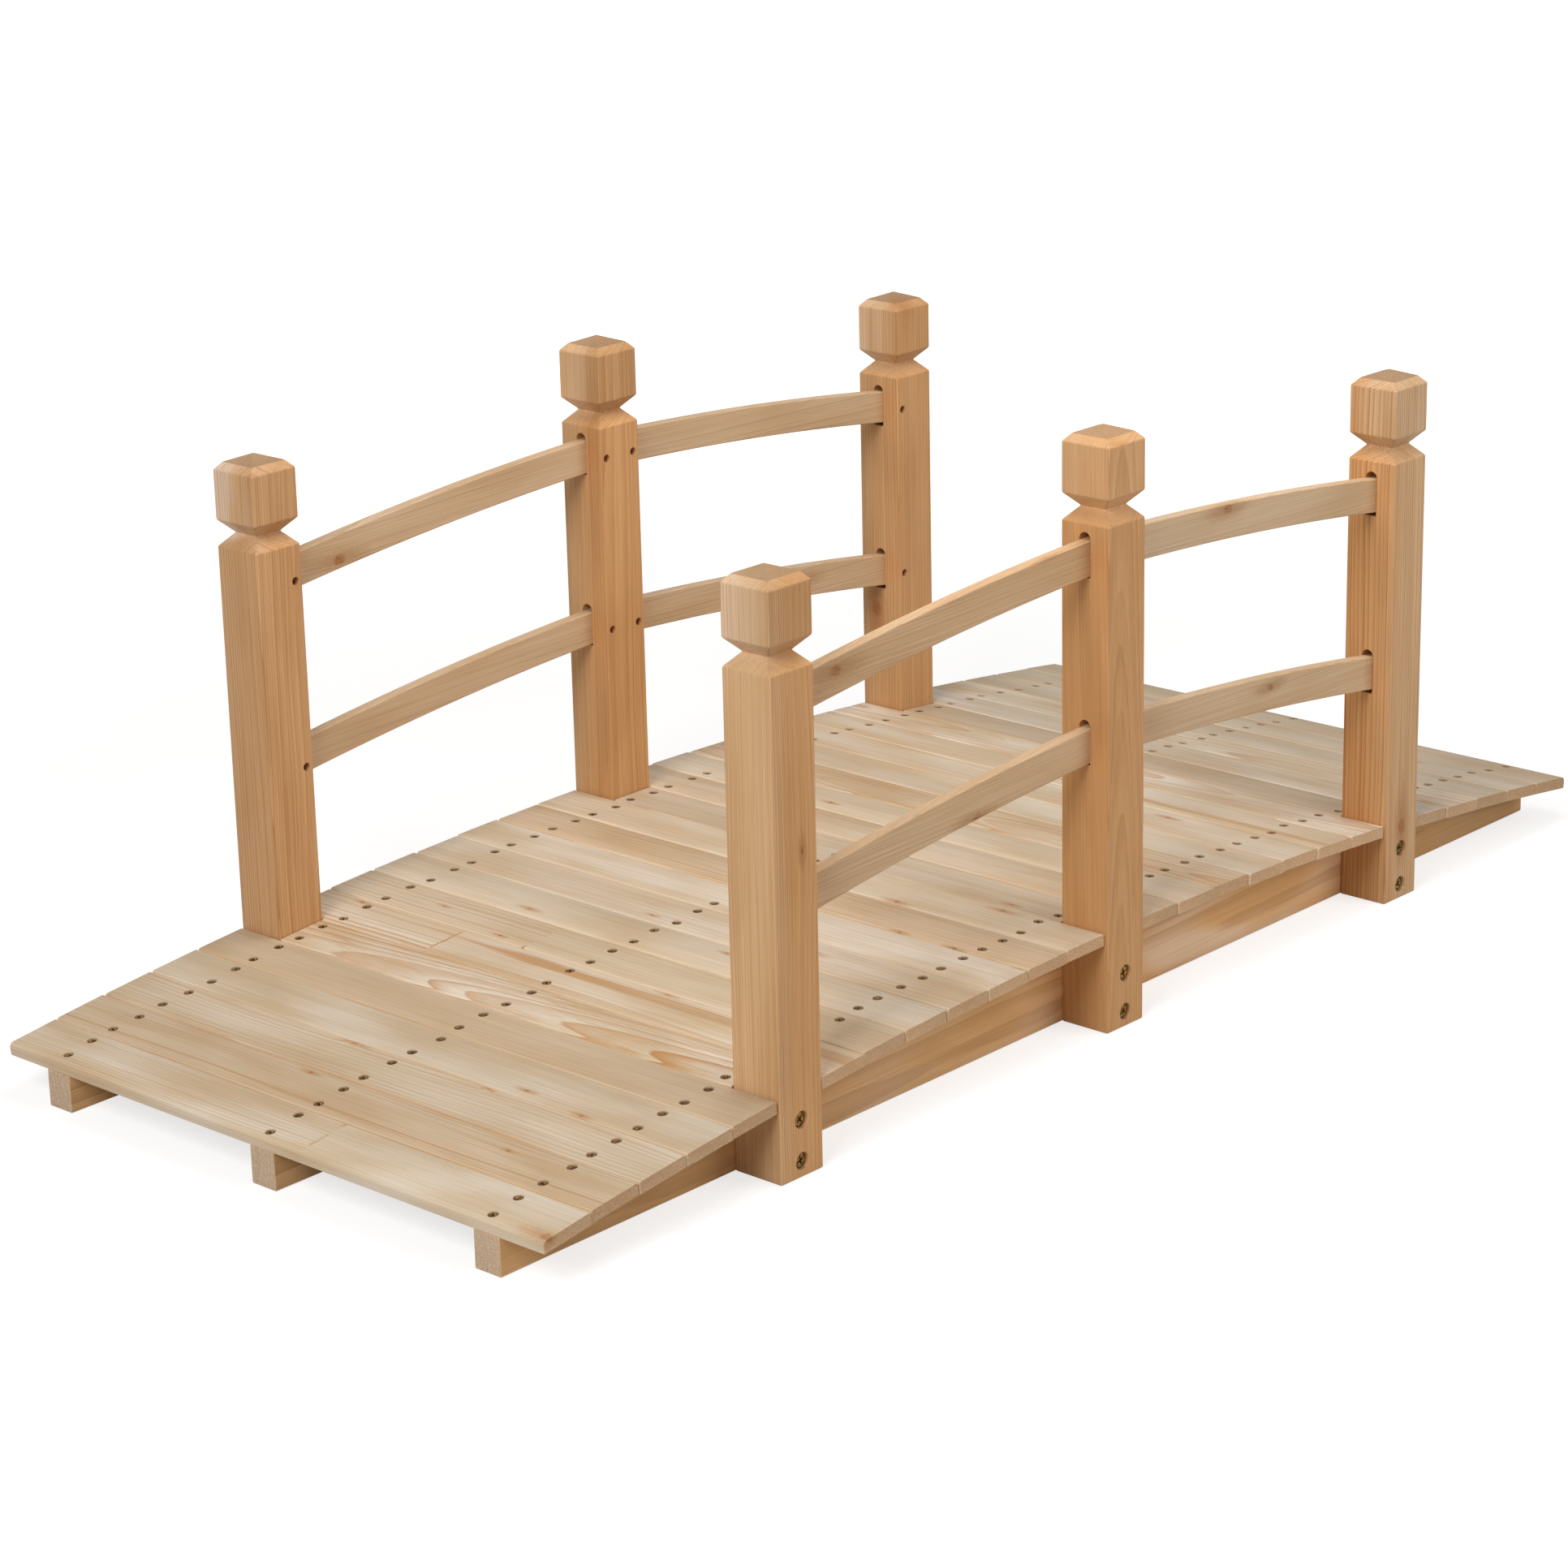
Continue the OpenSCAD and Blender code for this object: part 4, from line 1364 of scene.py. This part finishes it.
class FOOTBRIDGE_OT_rails(Operator):
    """Eight curved rails that run into the mortises"""
    bl_idname = "footbridge.rails"
    bl_label = "Rails"

    def execute(self, context):
        sizes = context.scene.footbridge_sizes
        colours = context.scene.footbridge_colours
        material = wood_material("rail_wood", colours.rail_early, colours.rail_late, colours.end_grain,
                                 colours.knot, X_AXIS, ROUGHNESS["rails"])
        chance = np.random.default_rng(DRAWS["rails"])
        for side_name in SIDES:
            for bay_name, bay in BAYS.items():
                for level in LEVELS:
                    node = f"{side_name}_{bay_name}_{level}_rail"
                    low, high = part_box(node)
                    y = (low[1] + high[1]) / 2.0
                    piece = self.make_rail(sizes, node, bay, level, y)
                    middle = np.array([0.0, y, 0.0])
                    # One draw is passed over, so that each rail keeps its own grain
                    chance.normal()
                    pith_z = (low[2] + high[2]) / 2.0 - drawn(chance, RAIL_PITH_BELOW)
                    pith_y = drawn(chance, RAIL_PITH_BESIDE)
                    lean = chance.normal(0.0, RAIL_LEAN_SPREAD) - RAIL_LEAN * bay
                    trunk = chance.random() * TRUNK_HEIGHT
                    log = Log(middle, Y_AXIS, Z_AXIS, X_AXIS, (pith_y, pith_z), lean, trunk)
                    tone, ruddy = RAIL_TINTS[node]
                    board = (tone, drawn(chance, RAIL_CONTRAST), drawn(chance, RAIL_RINGS))
                    tint = (ruddy, PLAIN_PALENESS, chance.random() * SEEDS)
                    face = -sizes.rail_thickness / 2.0
                    knots = [(face, z, x, radius) for z, x, radius in RAIL_KNOTS.get(node, [])]
                    dress(piece, material, log, board, tint, node, {"knots": knots})
        return {"FINISHED"}

    def make_rail(self, sizes, node, bay, level, y):
        """A rectangle with eased edges carried along two arcs about one centre."""
        tenon = sizes.mortise_depth - sizes.rail_end_gap
        start = sizes.post_width / 2.0 - tenon
        end = end_post_x() - sizes.post_width / 2.0 + tenon
        between = np.linspace(start, end, RAIL_STATIONS)[1:-1]
        x, shrink = eased_stations(start, end, RAIL_END_EASE, between)
        top, bottom = rail_edges(sizes, level, x)
        thickness = np.full(len(x), sizes.rail_thickness / 2.0)
        radii = np.tile(np.full(4, sizes.timber_edge), (len(x), 1))
        ring = rounded_rectangles(thickness - shrink, (top - bottom) / 2.0 - shrink, radii)
        rings = np.stack([np.repeat(bay * x[:, None], ring.shape[1], axis=1),
                          ring[:, :, 0] + y,
                          ring[:, :, 1] + (top + bottom)[:, None] / 2.0], axis=-1)
        return new_piece(node + "_timber", *skin(rings))


class FOOTBRIDGE_OT_deck_screws(Operator):
    """Bronzed screws sunk in the deck, one piece for each stringer"""
    bl_idname = "footbridge.deck_screws"
    bl_label = "Deck screws"

    def execute(self, context):
        sizes = context.scene.footbridge_sizes
        colours = context.scene.footbridge_colours
        material = metal_material("bronzed_steel", colours.deck_screw, BRONZED_ROUGHNESS)
        width = sizes.deck_screw * HEAD_SHARE
        points, faces = screw_head(width, SMALL_HEAD_SIDES, DECK_SCREW_DRIVE, SMALL_RINGS)
        screws = deck_screw_places(sizes)
        for name, row in STRINGERS.items():
            chosen = [screw for screw in screws if np.sign(np.round(screw[1][1], 1)) == row]
            turns = np.array([np.stack([across, Y_AXIS, up], axis=1) @ facing_turn(Z_AXIS, turn)
                              for _, _, across, up, _, turn in chosen])
            places = np.array([place - up * depth for _, place, _, up, depth, _ in chosen])
            piece = new_piece(name + "_deck_screws", *repeated(points, faces, turns, places))
            piece.data.materials.append(material)
            soften(piece)
            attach(piece, "root")
        return {"FINISHED"}


class FOOTBRIDGE_OT_post_screws(Operator):
    """Plated screws in the feet of the posts and the screws that pin the rails"""
    bl_idname = "footbridge.post_screws"
    bl_label = "Post screws and rail pins"

    def execute(self, context):
        sizes = context.scene.footbridge_sizes
        colours = context.scene.footbridge_colours
        chance = np.random.default_rng(DRAWS["screw_turns"])
        big = screw_head(sizes.post_screw, BIG_HEAD_SIDES, POST_SCREW_DRIVE, BIG_RINGS)
        small = screw_head(sizes.pin_width * HEAD_SHARE, SMALL_HEAD_SIDES, PIN_DRIVE, SMALL_RINGS)
        plated = metal_material("yellow_zinc", colours.post_screw, ZINC_ROUGHNESS)
        dark = metal_material("dark_steel", colours.deck_screw, DARK_ROUGHNESS)
        sets = (("post_screws", big, post_screw_places(sizes), POST_SCREW_DEPTH, plated),
                ("rail_pins", small, pin_places(sizes), PIN_SCREW_DEPTH, dark))
        for name, shape, spots, depth, material in sets:
            turns = np.array([facing_turn(out, chance.random() * np.pi) for _, out in spots])
            places = np.array([mouth - out * depth for mouth, out in spots])
            piece = new_piece(name, *repeated(*shape, turns, places))
            piece.data.materials.append(material)
            soften(piece)
            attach(piece, "root")
        return {"FINISHED"}


class FOOTBRIDGE_PT_panel(Panel):
    """Sizes, colours and building steps of the footbridge"""
    bl_idname = "FOOTBRIDGE_PT_panel"
    bl_label = "Garden footbridge"
    bl_space_type = "VIEW_3D"
    bl_region_type = "UI"
    bl_category = "Footbridge"

    def draw(self, context):
        column = self.layout.column()
        for step in STEPS:
            column.operator(step.bl_idname)
        for group in ("footbridge_sizes", "footbridge_colours", "footbridge_studio"):
            settings = getattr(context.scene, group)
            box = self.layout.box()
            for name in settings.__annotations__:
                box.prop(settings, name)


STEPS = (FOOTBRIDGE_OT_stage, FOOTBRIDGE_OT_stringers, FOOTBRIDGE_OT_deck, FOOTBRIDGE_OT_posts,
         FOOTBRIDGE_OT_rails, FOOTBRIDGE_OT_deck_screws, FOOTBRIDGE_OT_post_screws)
GROUPS = (FootbridgeSizes, FootbridgeColours, FootbridgeStudio)


def register():
    for part in (*GROUPS, *STEPS, FOOTBRIDGE_PT_panel):
        bpy.utils.register_class(part)
    bpy.types.Scene.footbridge_sizes = PointerProperty(type=FootbridgeSizes)
    bpy.types.Scene.footbridge_colours = PointerProperty(type=FootbridgeColours)
    bpy.types.Scene.footbridge_studio = PointerProperty(type=FootbridgeStudio)


def unregister():
    del bpy.types.Scene.footbridge_studio
    del bpy.types.Scene.footbridge_colours
    del bpy.types.Scene.footbridge_sizes
    for part in reversed((*GROUPS, *STEPS, FOOTBRIDGE_PT_panel)):
        bpy.utils.unregister_class(part)


def main():
    """Builds every piece in order."""
    register()
    bpy.ops.footbridge.stage()
    bpy.ops.footbridge.stringers()
    bpy.ops.footbridge.deck()
    bpy.ops.footbridge.posts()
    bpy.ops.footbridge.rails()
    bpy.ops.footbridge.deck_screws()
    bpy.ops.footbridge.post_screws()


if __name__ == "__main__":
    main()
